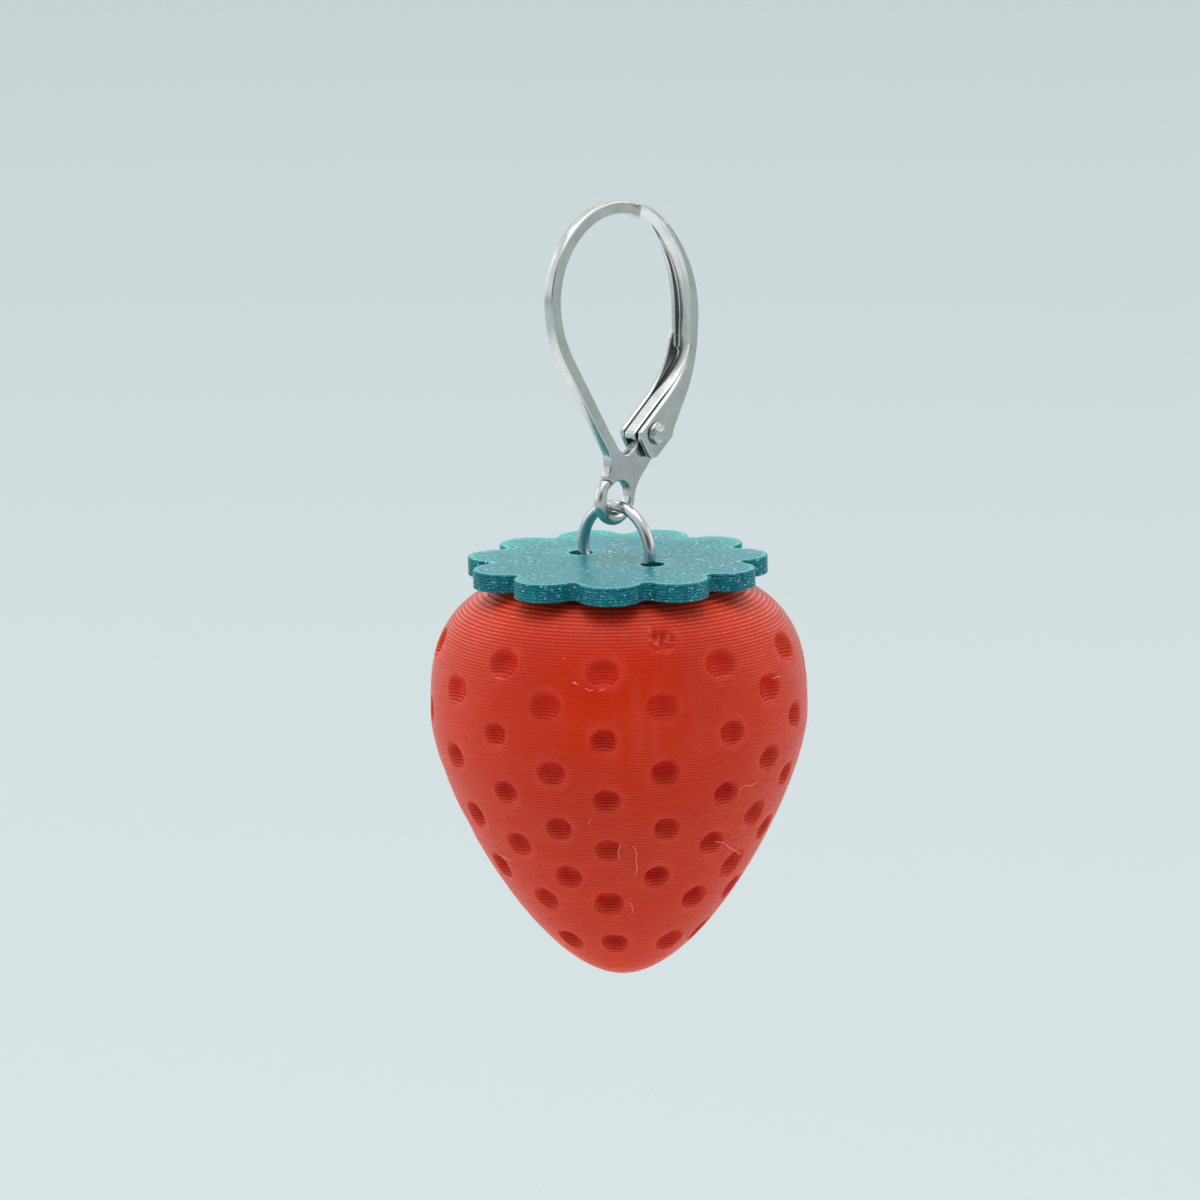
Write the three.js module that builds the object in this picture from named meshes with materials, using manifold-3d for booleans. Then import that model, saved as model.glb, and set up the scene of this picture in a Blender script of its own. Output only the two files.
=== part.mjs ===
// A strawberry drop earring. A stamped sheet-steel hook hangs from its bow and is closed by a
// hinged lever; a round-wire jump ring hangs in the hook's loop and runs on through a flat
// scalloped calyx and a curved tunnel in the top of a printed plastic strawberry.
//
// Units are millimetres and +Z is up. The origin is the inside top of the bow, the point that
// the earring hangs by. The hook's sheet lies in the YZ plane, with its lever on the +Y side,
// and the jump ring lies in the XZ plane.

import * as THREE from 'three';
import { mergeVertices } from 'three/addons/utils/BufferGeometryUtils.js';
import Module from 'manifold-3d';

const wasm = await Module();
wasm.setup();

const DEG = Math.PI / 180;

// --- Driving dimensions -----------------------------------------------------------------------

// Heights of the hanging pieces
const CALYX_TOP = -20.9;
const CALYX_THICKNESS = 1.1;
const BERRY_TOP = CALYX_TOP - CALYX_THICKNESS;
const BERRY_WIDEST = -30.2;
const BERRY_TIP = -46.4;

// Berry
const BERRY_RADIUS = 11.34;
const BERRY_FLAT_RADIUS = 5.6;
const SHOULDER_POWER = 3; // exponent of the superellipse above the widest height
const CONE_FULLNESS = 4.1; // how far the side runs straight down before it closes in
const TIP_FULLNESS = 5.1; // how far the tip runs flat before it turns up
const DIMPLE_SPHERE = 1.0;
const DIMPLE_DEPTH = 0.5;
const DIMPLE_STRETCH = [1.13, 0.92]; // a dimple is wider round the side than up it
const DIMPLE_TURNS = [ // degrees from +X to each column
  -52, -32, -11.5, 5.5, 20.5, 41.5, 62, 83, 104, 125, 145.5, 166.5, 187.5, 208, 229, 252, 272.5, 290.5,
];
// Heights of the dimples in every second column and in the columns between, each with its size.
const EVEN_ROWS = [
  [-25.6, 1.05], [-29.7, 0.82], [-33.45, 0.8], [-36.8, 0.8], [-40.45, 0.82], [-43.5, 0.78],
];
const ODD_ROWS = [[-27.6, 1.07], [-31.7, 0.9], [-35.4, 0.82], [-38.7, 0.82]];
const LONE_DIMPLE = { turn: -32, row: [-24.15, 0.95] }; // one more, close under the calyx

// Calyx
const LOBES = 11;
const LOBE_REACH = 9.1;
const NOTCH_REACH = 7.62;
const NOTCH_FILLET = 0.4;
const LOBE_START = -50.4; // degrees from +X to the middle of the first lobe

// Jump ring, and the round tunnel that it runs in
const RING_RADIUS = 2.7;
const WIRE_RADIUS = 0.35;
const RING_CENTRE = -20.36;
const RING_CUT = 0.06;
const TUNNEL_RADIUS = 2.95;
const TUNNEL_BORE_RADIUS = 0.71;
const TUNNEL_DROP = 0.08; // the tunnel's centre below the ring's, so the berry hangs on the wire

// Hook
const HOOK_SHEET = 0.7;
const BOW_RADIUS = 4.78; // inside of the bow
const STRAND_WIDTH = 0.84;
const STRAND_TILT = 32; // degrees from upright
const STRAND_SPREAD = 0.19; // how far the straight strand stands outside the bow's tangent
const TIP_ANGLE = 63.5; // degrees round the bow at which the tip ends
const TIP_STEP = 0.22; // how much the tip is thinned, for the lever's web
const LOOP_HOLE_RADIUS = 0.95;
const LOOP_HOLE = -17.1;
const LOOP_RADIUS = 1.54;
const LOOP_CENTRE = [-0.17, -17.28];
const LOOP_SLIT_ANGLE = 129;
const LOOP_SLIT = 0.06;

// Pivot and rivet
const PIVOT = [2.75, -13.56];
const EAR_RADIUS = 0.6;
const RIVET_RADIUS = 0.34;
const RIVET_FIT = 0.02; // between the rivet and the hook's ear
const HINGE_FIT = 0.06; // between the rivet and the lever
const HEAD_RADIUS = 0.7;
const HEAD_HEIGHT = 0.34;

// Lever: one folded sheet, wide round the ear and narrower above it
const LEVER_SHEET = 0.36;
const CHEEK_OUTER = 0.91;
const CHANNEL_OUTER = 0.75;
const CHANNEL_INNER = 0.41;
const TONGUE_HALF_WIDTH = 0.42;
const WEB_TIP_ANGLE = 70.5; // degrees round the bow at which the lever's tip ends
const WEB_OUTER_RADIUS = BOW_RADIUS + STRAND_WIDTH + 0.02;
const WEB_TIP_SHEET = 0.2;

// Fineness of the curves
const ROUND_SIDES = 24;
const BERRY_SIDES = 54;
const WIRE_SIDES = 10;
const WIRE_STEPS = 48;

// --- Small helpers ----------------------------------------------------------------------------

// Moves a flat outline drawn in (y, z) and extruded along its own z into the YZ plane.
const UPRIGHT = new THREE.Matrix4().makeBasis(
  new THREE.Vector3(0, 1, 0),
  new THREE.Vector3(0, 0, 1),
  new THREE.Vector3(1, 0, 0),
);

function solidFrom(geometry) {
  const bare = geometry.clone();
  bare.deleteAttribute('normal');
  bare.deleteAttribute('uv');
  const merged = mergeVertices(bare, 1e-5);
  return new wasm.Manifold(new wasm.Mesh({
    numProp: 3,
    vertProperties: new Float32Array(merged.attributes.position.array),
    triVerts: new Uint32Array(merged.index.array),
  }));
}

function geometryFrom(solid) {
  const mesh = solid.getMesh();
  const geometry = new THREE.BufferGeometry();
  geometry.setAttribute('position', new THREE.BufferAttribute(mesh.vertProperties, 3));
  geometry.setIndex(new THREE.BufferAttribute(mesh.triVerts, 1));
  geometry.computeVertexNormals();
  return geometry;
}

// Extrudes an outline drawn in (y, z) between two values of x.
function plate(shape, xLow, xHigh, curveSegments = 10) {
  const geometry = new THREE.ExtrudeGeometry(shape, {
    depth: xHigh - xLow,
    bevelEnabled: false,
    curveSegments,
  });
  geometry.translate(0, 0, xLow);
  return geometry.applyMatrix4(UPRIGHT);
}

// A round bar along X through a point of the YZ plane.
function crossBar([y, z], radius, halfLength) {
  const geometry = new THREE.CylinderGeometry(radius, radius, 2 * halfLength, ROUND_SIDES);
  geometry.rotateZ(-Math.PI / 2);
  return geometry.translate(0, y, z);
}

function polar(centre, radius, degrees) {
  return new THREE.Vector2(
    centre[0] + radius * Math.cos(degrees * DEG),
    centre[1] + radius * Math.sin(degrees * DEG),
  );
}

function arcTo(shape, centre, radius, fromDegrees, toDegrees, clockwise) {
  shape.absarc(centre[0], centre[1], radius, fromDegrees * DEG, toDegrees * DEG, clockwise);
}

function tunnelCutter() {
  const torus = new THREE.TorusGeometry(TUNNEL_RADIUS, TUNNEL_BORE_RADIUS, 12, 40);
  torus.rotateX(Math.PI / 2);
  torus.translate(0, 0, RING_CENTRE - TUNNEL_DROP);
  return solidFrom(torus);
}

// --- Berry ------------------------------------------------------------------------------------

// The lower side as a curve from the widest height to the tip, in (radius, z).
const lowerSide = new THREE.CubicBezierCurve(
  new THREE.Vector2(BERRY_RADIUS, BERRY_WIDEST),
  new THREE.Vector2(BERRY_RADIUS, BERRY_WIDEST - CONE_FULLNESS),
  new THREE.Vector2(TIP_FULLNESS, BERRY_TIP),
  new THREE.Vector2(0, BERRY_TIP),
);

// The shoulder is a superellipse that passes through the rim of the flat top.
const shoulderHeight = (BERRY_TOP - BERRY_WIDEST)
  / (1 - (BERRY_FLAT_RADIUS / BERRY_RADIUS) ** SHOULDER_POWER) ** (1 / SHOULDER_POWER);

function shoulderRadius(z) {
  const rise = (z - BERRY_WIDEST) / shoulderHeight;
  return BERRY_RADIUS * (1 - rise ** SHOULDER_POWER) ** (1 / SHOULDER_POWER);
}

// Profile points from the tip up to the middle of the flat top.
function berryProfile(lowerSteps = 13, shoulderSteps = 9) {
  const points = lowerSide.getPoints(lowerSteps).reverse();
  for (let i = 1; i <= shoulderSteps; i += 1) {
    const z = BERRY_WIDEST + (BERRY_TOP - BERRY_WIDEST) * Math.sin((i / shoulderSteps) * 90 * DEG);
    points.push(new THREE.Vector2(shoulderRadius(z), z));
  }
  points.push(new THREE.Vector2(0, BERRY_TOP));
  return points;
}

// Radius and outward slope of the profile at a height, by walking its points.
function profileAt(z, points) {
  const above = points.findIndex((point) => point.y >= z);
  const low = points[above - 1];
  const high = points[above];
  const share = (z - low.y) / (high.y - low.y);
  const direction = high.clone().sub(low).normalize();
  return {
    radius: low.x + share * (high.x - low.x),
    normal: new THREE.Vector2(direction.y, -direction.x),
  };
}

// One seed dimple: a ball set so that it bites DIMPLE_DEPTH into the side.
function dimple(turn, [z, size], points) {
  const { radius, normal } = profileAt(z, points);
  const lift = DIMPLE_SPHERE - DIMPLE_DEPTH;
  const ball = new THREE.SphereGeometry(DIMPLE_SPHERE, 10, 5);
  ball.rotateX(-Math.PI / 2);
  ball.scale(size * DIMPLE_STRETCH[0], size * DIMPLE_STRETCH[1], 1);
  ball.applyMatrix4(new THREE.Matrix4().lookAt(
    new THREE.Vector3(0, 0, 0),
    new THREE.Vector3(normal.x, 0, normal.y),
    new THREE.Vector3(0, 0, 1),
  ));
  ball.translate(radius + normal.x * lift, 0, z + normal.y * lift);
  ball.rotateZ(turn * DEG);
  return solidFrom(ball);
}

function berry() {
  const points = berryProfile();
  const turned = new THREE.LatheGeometry(points, BERRY_SIDES);
  turned.rotateX(Math.PI / 2);
  let solid = solidFrom(turned);
  DIMPLE_TURNS.forEach((turn, column) => {
    const rows = column % 2 === 0 ? EVEN_ROWS : ODD_ROWS;
    rows.forEach((row) => {
      solid = solid.subtract(dimple(turn, row, points));
    });
  });
  solid = solid.subtract(dimple(LONE_DIMPLE.turn, LONE_DIMPLE.row, points));
  return geometryFrom(solid.subtract(tunnelCutter()));
}

// --- Calyx ------------------------------------------------------------------------------------

// Eleven round lobes joined by small fillets. The lobes' own radius follows from their reach,
// the notches' reach and the fillet: each fillet arc touches the two lobes beside it.
function calyxOutline() {
  const half = 180 / LOBES;
  const filletReach = NOTCH_REACH + NOTCH_FILLET;
  const across = filletReach * Math.cos(half * DEG);
  const lobeRadius = (LOBE_REACH ** 2 + filletReach ** 2 - 2 * LOBE_REACH * across
    - NOTCH_FILLET ** 2) / (2 * (LOBE_REACH - across + NOTCH_FILLET));
  const lobeCentreReach = LOBE_REACH - lobeRadius;
  const turn = Math.atan2(
    filletReach * Math.sin(half * DEG),
    filletReach * Math.cos(half * DEG) - lobeCentreReach,
  ) / DEG;
  const shape = new THREE.Shape();
  for (let i = 0; i < LOBES; i += 1) {
    const middle = LOBE_START + 2 * half * i;
    const lobe = polar([0, 0], lobeCentreReach, middle).toArray();
    const fillet = polar([0, 0], filletReach, middle + half).toArray();
    arcTo(shape, lobe, lobeRadius, middle - turn, middle + turn, false);
    arcTo(shape, fillet, NOTCH_FILLET, middle + turn - 180, middle + 2 * half - turn + 180 - 360,
      true);
  }
  return shape;
}

function calyx() {
  const disc = new THREE.ExtrudeGeometry(calyxOutline(), {
    depth: CALYX_THICKNESS,
    bevelEnabled: false,
    curveSegments: 5,
  });
  disc.translate(0, 0, BERRY_TOP);
  return geometryFrom(solidFrom(disc).subtract(tunnelCutter()));
}

// --- Jump ring --------------------------------------------------------------------------------

// The ring's centre line: a circle in the XZ plane that is cut at its lowest point.
class RingLine extends THREE.Curve {
  getPoint(t, target = new THREE.Vector3()) {
    const halfCut = RING_CUT / 2 / RING_RADIUS;
    const angle = -Math.PI / 2 + halfCut + t * (2 * Math.PI - 2 * halfCut);
    return target.set(
      RING_RADIUS * Math.cos(angle),
      0,
      RING_CENTRE + RING_RADIUS * Math.sin(angle),
    );
  }
}

function jumpRing() {
  const section = new THREE.Shape();
  section.absarc(0, 0, WIRE_RADIUS, 0, 2 * Math.PI, false);
  return new THREE.ExtrudeGeometry(section, {
    steps: WIRE_STEPS,
    curveSegments: WIRE_SIDES / 2,
    extrudePath: new RingLine(),
  });
}

// --- Hook -------------------------------------------------------------------------------------

const bowCentre = [0, -BOW_RADIUS];

// A point on one edge of the straight strand, this far down it. The inset is measured inwards
// from the outer edge.
function onStrand(distance, inset) {
  const reach = BOW_RADIUS + STRAND_WIDTH + STRAND_SPREAD - inset;
  return new THREE.Vector2(
    bowCentre[0] - reach * Math.cos(STRAND_TILT * DEG) + distance * Math.sin(STRAND_TILT * DEG),
    bowCentre[1] - reach * Math.sin(STRAND_TILT * DEG) - distance * Math.cos(STRAND_TILT * DEG),
  );
}

// Where that edge, carried on upwards, meets the upright side of the bow.
function strandCorner(inset) {
  const side = -(BOW_RADIUS + STRAND_WIDTH - inset);
  const start = onStrand(0, inset);
  return onStrand((side - start.x) / Math.sin(STRAND_TILT * DEG), inset);
}

function hookOutline() {
  const outer = BOW_RADIUS + STRAND_WIDTH;
  const hole = [0, LOOP_HOLE];
  const slitSide = new THREE.Vector2(-Math.sin(LOOP_SLIT_ANGLE * DEG), Math.cos(LOOP_SLIT_ANGLE * DEG))
    .multiplyScalar(LOOP_SLIT / 2);
  const halfSlitAngle = Math.asin(LOOP_SLIT / 2 / LOOP_HOLE_RADIUS) / DEG;
  const shape = new THREE.Shape();

  // From the stepped tip over the bow and down the outside of the strand to the neck
  arcTo(shape, bowCentre, outer - TIP_STEP, TIP_ANGLE, 72, false);
  arcTo(shape, bowCentre, outer, 73.5, 180, false);
  const outerStart = onStrand(1.0, 0);
  const outerCorner = strandCorner(0);
  shape.quadraticCurveTo(outerCorner.x, outerCorner.y, outerStart.x, outerStart.y);
  const neckTop = onStrand(7.4, 0);
  shape.lineTo(neckTop.x, neckTop.y);

  // Round the neck to the loop's slit, in along it, round the hole and out again
  const lipOuter = polar(hole, 1.62, LOOP_SLIT_ANGLE).sub(slitSide);
  shape.quadraticCurveTo(-0.42, -15.05, lipOuter.x, lipOuter.y);
  arcTo(shape, hole, LOOP_HOLE_RADIUS, LOOP_SLIT_ANGLE - halfSlitAngle,
    LOOP_SLIT_ANGLE + halfSlitAngle - 360, true);

  // Round the outside of the loop, and up the right of the arm to the pivot's ear
  arcTo(shape, LOOP_CENTRE, LOOP_RADIUS, 121, 355, false);
  shape.quadraticCurveTo(1.42, -16.71, 2.17, -15.99);
  shape.lineTo(2.93, -15.25);
  shape.quadraticCurveTo(3.8, -14.4, PIVOT[0] + EAR_RADIUS, PIVOT[1]);
  arcTo(shape, PIVOT, EAR_RADIUS, 0, 143, false);

  // Down to the bottom of the fork, and up the inside of the strand and bow to the tip
  shape.lineTo(1.62, -14.18);
  const forkEnd = onStrand(7.77, STRAND_WIDTH);
  shape.quadraticCurveTo(0.55, -15.05, forkEnd.x, forkEnd.y);
  const innerStart = onStrand(1.0, STRAND_WIDTH);
  shape.lineTo(innerStart.x, innerStart.y);
  const innerCorner = strandCorner(STRAND_WIDTH);
  shape.quadraticCurveTo(innerCorner.x, innerCorner.y, -BOW_RADIUS, bowCentre[1]);
  arcTo(shape, bowCentre, BOW_RADIUS, 180, TIP_ANGLE, true);
  return shape;
}

function hook() {
  const sheet = solidFrom(plate(hookOutline(), -HOOK_SHEET / 2, HOOK_SHEET / 2, 12));
  return geometryFrom(sheet.subtract(solidFrom(crossBar(PIVOT, RIVET_RADIUS + RIVET_FIT, HOOK_SHEET))));
}

// --- Rivet ------------------------------------------------------------------------------------

// A plain shaft with a low domed head outside each cheek of the lever.
function rivet() {
  const headBase = CHEEK_OUTER + 0.05;
  const domeSteps = 4;
  const half = [new THREE.Vector2(RIVET_RADIUS, headBase)];
  for (let i = 0; i <= domeSteps; i += 1) {
    const angle = (i / domeSteps) * 90 * DEG;
    half.push(new THREE.Vector2(HEAD_RADIUS * Math.cos(angle), headBase + HEAD_HEIGHT * Math.sin(angle)));
  }
  half[half.length - 1].x = 0;
  const mirrored = half.map((point) => new THREE.Vector2(point.x, -point.y)).reverse();
  const geometry = new THREE.LatheGeometry([...mirrored, ...half], ROUND_SIDES);
  geometry.rotateZ(-Math.PI / 2);
  return geometry.translate(0, PIVOT[0], PIVOT[1]);
}

// --- Lever ------------------------------------------------------------------------------------

// Corner points of the lever's side view, in (y, z), shared by its pieces
const TONGUE_END = [1.42, -13.33];
const BEND_START = [3.64, -11.65];
const BEND_CORNER = [5.6, -10.2];
const BEND_END = [6.05, -8.4];
const WEB_FOOT = [6.7, -6.9];

// The wide lower cheeks that straddle the ear.
function cheekOutline() {
  const shape = new THREE.Shape();
  shape.moveTo(...TONGUE_END);
  shape.lineTo(1.42, -13.75);
  shape.lineTo(2.12, -14.9);
  shape.quadraticCurveTo(2.22, -15.06, 2.45, -15.08);
  shape.lineTo(2.75, -15.1);
  shape.lineTo(4.1, -14.08);
  shape.quadraticCurveTo(4.26, -13.95, 4.3, -13.6);
  shape.lineTo(5.55, -11.55);
  shape.quadraticCurveTo(6.5, -9.8, 6.62, -7.8);
  shape.lineTo(6.05, -7.8);
  shape.lineTo(...BEND_END);
  shape.quadraticCurveTo(...BEND_CORNER, ...BEND_START);
  return shape;
}

// The narrower upper cheeks, which run out into the web below the tip.
function channelOutline() {
  const shape = new THREE.Shape();
  shape.moveTo(5.98, -8.9);
  shape.lineTo(6.5, -8.9);
  shape.lineTo(...WEB_FOOT);
  const end = polar(bowCentre, WEB_OUTER_RADIUS, 43);
  shape.bezierCurveTo(6.7, -4.4, 5.62, -2.54, end.x, end.y);
  const taper = polar(bowCentre, WEB_OUTER_RADIUS - WEB_TIP_SHEET, 46);
  shape.lineTo(taper.x, taper.y);
  shape.bezierCurveTo(5.2, -2.6, 5.97, -4.3, 5.97, -6.6);
  return shape;
}

// The web: the back of the channel, thinned towards the tip where it covers the hook's tip.
function webOutline() {
  const shape = new THREE.Shape();
  const inner = WEB_OUTER_RADIUS - WEB_TIP_SHEET;
  const outerEnd = polar(bowCentre, WEB_OUTER_RADIUS, 43);
  shape.moveTo(6.62, -7.8);
  shape.lineTo(...WEB_FOOT);
  shape.bezierCurveTo(6.7, -4.4, 5.62, -2.54, outerEnd.x, outerEnd.y);
  arcTo(shape, bowCentre, WEB_OUTER_RADIUS, 43, WEB_TIP_ANGLE, false);
  arcTo(shape, bowCentre, inner, WEB_TIP_ANGLE, 43, true);
  shape.bezierCurveTo(5.43, -2.7, 6.36, -4.5, 6.36, -6.9);
  shape.lineTo(6.26, -7.8);
  return shape;
}

// The spring tongue: the web carried on between the cheeks, slit free of them, to its square
// end beside the ear.
function tongueOutline() {
  const shape = new THREE.Shape();
  const [dy, dz] = [BEND_START[0] - TONGUE_END[0], BEND_START[1] - TONGUE_END[1]];
  const run = Math.hypot(dy, dz);
  const inward = [(dz / run) * LEVER_SHEET, (-dy / run) * LEVER_SHEET];
  shape.moveTo(...TONGUE_END);
  shape.lineTo(TONGUE_END[0] + inward[0], TONGUE_END[1] + inward[1]);
  shape.lineTo(BEND_START[0] + inward[0], BEND_START[1] + inward[1]);
  shape.quadraticCurveTo(5.88, -10.4, 6.4, -8.4);
  shape.lineTo(6.66, -7.4);
  shape.lineTo(6.3, -7.4);
  shape.lineTo(...BEND_END);
  shape.quadraticCurveTo(...BEND_CORNER, ...BEND_START);
  return shape;
}

function lever() {
  const cheekInner = CHEEK_OUTER - LEVER_SHEET;
  const cheeks = [[-CHEEK_OUTER, -cheekInner], [cheekInner, CHEEK_OUTER]]
    .map(([low, high]) => solidFrom(plate(cheekOutline(), low, high, 6)));
  const channel = [[-CHANNEL_OUTER, -CHANNEL_INNER], [CHANNEL_INNER, CHANNEL_OUTER]]
    .map(([low, high]) => solidFrom(plate(channelOutline(), low, high, 8)));
  const web = solidFrom(plate(webOutline(), -CHANNEL_OUTER, CHANNEL_OUTER, 8));
  const tongue = solidFrom(plate(tongueOutline(), -TONGUE_HALF_WIDTH, TONGUE_HALF_WIDTH, 6));
  const sheet = [...cheeks, ...channel, tongue].reduce((solid, piece) => solid.add(piece), web);
  const hole = solidFrom(crossBar(PIVOT, RIVET_RADIUS + HINGE_FIT, 2 * CHEEK_OUTER));
  return geometryFrom(sheet.subtract(hole));
}

// --- Materials and assembly -------------------------------------------------------------------

function finish(color, roughness, metalness) {
  return new THREE.MeshStandardMaterial({ color, roughness, metalness });
}

const earring = new THREE.Group();

function addPiece(name, geometry, material) {
  const piece = new THREE.Mesh(geometry, material);
  piece.name = name;
  earring.add(piece);
}

addPiece('hook', hook(), finish(0xc3c5c3, 0.3, 1));
addPiece('rivet', rivet(), finish(0xbabcb9, 0.35, 1));
addPiece('lever', lever(), finish(0xc9cac8, 0.25, 1));
addPiece('jump_ring', jumpRing(), finish(0xcfd0ce, 0.15, 1));
addPiece('calyx', calyx(), finish(0x2f8a8c, 0.5, 0));
addPiece('berry', berry(), finish(0xc23526, 0.45, 0));

export default earring;
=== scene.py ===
# %% [markdown]
# # A strawberry drop earring
#
# The real thing is small: 47 mm from the top of its steel hook to the tip of a printed plastic
# strawberry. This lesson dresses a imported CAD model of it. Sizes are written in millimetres,
# as a maker would measure them, and turned into metres once.

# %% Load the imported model
import math

import bmesh
import bpy
import numpy as np
from mathutils import Matrix, Vector, geometry


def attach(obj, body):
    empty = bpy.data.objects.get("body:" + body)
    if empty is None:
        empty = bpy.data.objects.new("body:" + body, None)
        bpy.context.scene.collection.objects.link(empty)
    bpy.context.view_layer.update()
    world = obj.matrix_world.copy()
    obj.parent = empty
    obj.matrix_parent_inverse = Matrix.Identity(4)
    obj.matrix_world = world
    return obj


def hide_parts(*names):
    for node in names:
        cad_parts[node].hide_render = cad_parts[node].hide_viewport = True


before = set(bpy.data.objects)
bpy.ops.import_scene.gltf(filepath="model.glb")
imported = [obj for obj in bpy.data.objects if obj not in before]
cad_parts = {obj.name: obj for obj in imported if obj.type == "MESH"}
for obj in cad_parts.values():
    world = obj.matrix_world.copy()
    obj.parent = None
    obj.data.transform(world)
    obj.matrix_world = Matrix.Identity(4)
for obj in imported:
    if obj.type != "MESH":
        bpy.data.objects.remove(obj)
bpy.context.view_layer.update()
MM = 0.001
SAME_POINT = 1e-4  # points closer than this, in millimetres, count as one
print("CAD nodes:", sorted(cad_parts))

# %% [markdown]
# ## Small helpers
#
# Meshes, objects and node trees are made again and again below, so each of these steps has one
# short call of its own. A value for a node's socket can be a number, or the output of another
# node, and a colour is written without its alpha.

# %% Short calls for meshes and objects


def new_mesh(name, points, faces=(), edges=()):
    """A mesh from points in metres."""
    mesh = bpy.data.meshes.new(name)
    mesh.from_pydata([tuple(p) for p in points], list(edges), list(faces))
    return mesh


def put(name, data):
    """A new object in the scene that shows a mesh, a lamp or a camera."""
    made = bpy.data.objects.new(name, data)
    bpy.context.scene.collection.objects.link(made)
    return made


def after_modifiers(made):
    """A plain mesh of what an object's modifiers make of it."""
    return bpy.data.meshes.new_from_object(made.evaluated_get(bpy.context.evaluated_depsgraph_get()))


class Skin:
    """Gathers points and faces from several parts of one surface."""

    def __init__(self):
        self.points, self.faces, self.count = [], [], 0

    def add(self, points, faces, flip=False):
        faces = [tuple(reversed(face)) for face in faces] if flip else faces
        self.faces += [tuple(self.count + i for i in face) for face in faces]
        self.points.append(np.asarray(points, float))
        self.count += len(points)

    def mesh(self, name):
        return new_mesh(name, np.concatenate(self.points), self.faces)

    def sewn(self, name, smooth_angle=35.0):
        """A mesh object with the parts joined where their points meet."""
        mesh = self.mesh(name)
        work = bmesh.new()
        work.from_mesh(mesh)
        bmesh.ops.remove_doubles(work, verts=work.verts, dist=SAME_POINT)
        loose = [e for e in work.edges if not e.is_manifold]
        print(f"{name}: {len(loose)} open edges")
        work.to_mesh(mesh)
        work.free()
        mesh.transform(Matrix.Scale(MM, 4))
        mesh.polygons.foreach_set("use_smooth", [True] * len(mesh.polygons))
        mesh.set_sharp_from_angle(angle=math.radians(smooth_angle))
        return put(name, mesh)


print("mesh helpers ready")

# %% Short calls for node trees


class Wiring:
    """Short calls for the nodes of one tree."""

    def __init__(self, tree):
        self.tree = tree

    def feed(self, socket, value):
        if isinstance(value, bpy.types.NodeSocket):
            self.tree.links.new(value, socket)
        else:
            socket.default_value = (*value, 1.0) if socket.type == "RGBA" else value

    def fill(self, node, values):
        for socket, value in values.items():
            self.feed(node.inputs[socket], value)
        return node

    def node(self, kind, values=None, **settings):
        made = self.tree.nodes.new(kind)
        for key, value in settings.items():
            setattr(made, key, value)
        return self.fill(made, values or {})

    def math(self, operation, *values):
        return self.node("ShaderNodeMath", dict(enumerate(values)), operation=operation).outputs[0]

    def times(self, product, *others):
        for other in others:
            product = self.math("MULTIPLY", product, other)
        return product

    def vector(self, operation, *values):
        made = self.node("ShaderNodeVectorMath", dict(enumerate(values)), operation=operation)
        number = operation in ("DISTANCE", "DOT_PRODUCT", "LENGTH")
        return made.outputs["Value" if number else "Vector"]

    def along(self, axis, vector):
        """How far a vector reaches along X, Y or Z."""
        return self.node("ShaderNodeSeparateXYZ", {"Vector": vector}).outputs[axis]

    def noise(self, place, scale, detail=2.0, roughness=0.5):
        values = {"Vector": place, "Scale": scale, "Detail": detail, "Roughness": roughness}
        return self.node("ShaderNodeTexNoise", values).outputs["Fac"]

    def ramp(self, value, low, high, to_low=0.0, to_high=1.0, smooth=False):
        """Maps a value from one range to another, and stops at the ends."""
        values = {"Value": value, "From Min": low, "From Max": high, "To Min": to_low, "To Max": to_high}
        kind = "SMOOTHSTEP" if smooth else "LINEAR"
        return self.node("ShaderNodeMapRange", values, interpolation_type=kind).outputs["Result"]

    def mix(self, share, first, second):
        """A colour between two others."""
        return self.node("ShaderNodeMix", {0: share, 6: first, 7: second}, data_type="RGBA").outputs[2]

    def coat(self, colour, coats):
        """A colour under several coats, each with the share that it covers and its own colour."""
        for share, tone in coats:
            colour = self.mix(share, colour, tone)
        return colour


def new_tree(name, kind, inputs, outputs):
    """A node tree with named inputs, some with a value of their own, and named outputs."""
    tree = bpy.data.node_groups.new(name, kind)
    for label, socket_kind, *value in inputs:
        socket = tree.interface.new_socket(label, in_out="INPUT", socket_type="NodeSocket" + socket_kind)
        if value:
            socket.default_value = value[0]
    for label, socket_kind in outputs:
        tree.interface.new_socket(label, in_out="OUTPUT", socket_type="NodeSocket" + socket_kind)
    return tree, Wiring(tree)


def end_tree(w, shape, finish, label):
    """Ends a geometry tree: the shape is made real, gets its finish and goes to the output."""
    real = w.node("GeometryNodeRealizeInstances", {"Geometry": shape})
    dressed = w.node("GeometryNodeSetMaterial", {"Geometry": real.outputs[0], "Material": finish})
    w.fill(w.node("NodeGroupOutput"), {label: dressed.outputs[0]})


def run_tree(made, tree, values):
    """Runs a geometry tree over an object and gives a plain mesh. A modifier knows the tree's
    named inputs by their identifiers."""
    modifier = made.modifiers.new(tree.name, "NODES")
    modifier.node_group = tree
    known = {s.name: s.identifier for s in tree.interface.items_tree if s.in_out == "INPUT"}
    for label, value in values.items():
        modifier[known[label]] = value
    return after_modifiers(made)


print("node helpers ready")

# %% [markdown]
# ## The camera
#
# A long lens from over half a metre away flattens the perspective, as in a close-up product
# picture. The camera stands 43 degrees round from the hook's flat face, looks down a little and
# leans by one degree. Its aim is given from a point that is easy to find: the middle of the
# calyx's top.

# %% Place the camera
CALYX_TOP = -20.9
CAMERA_TURN = math.radians(43.0)
CAMERA_LIFT = math.radians(11.65)
CAMERA_LEAN = math.radians(1.0)
CAMERA_DISTANCE = 600.0
FRAME_WIDTH = 72.0
SENSOR_WIDTH = 36.0
AIM_RIGHT, AIM_UP = -1.0, -2.5


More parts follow.
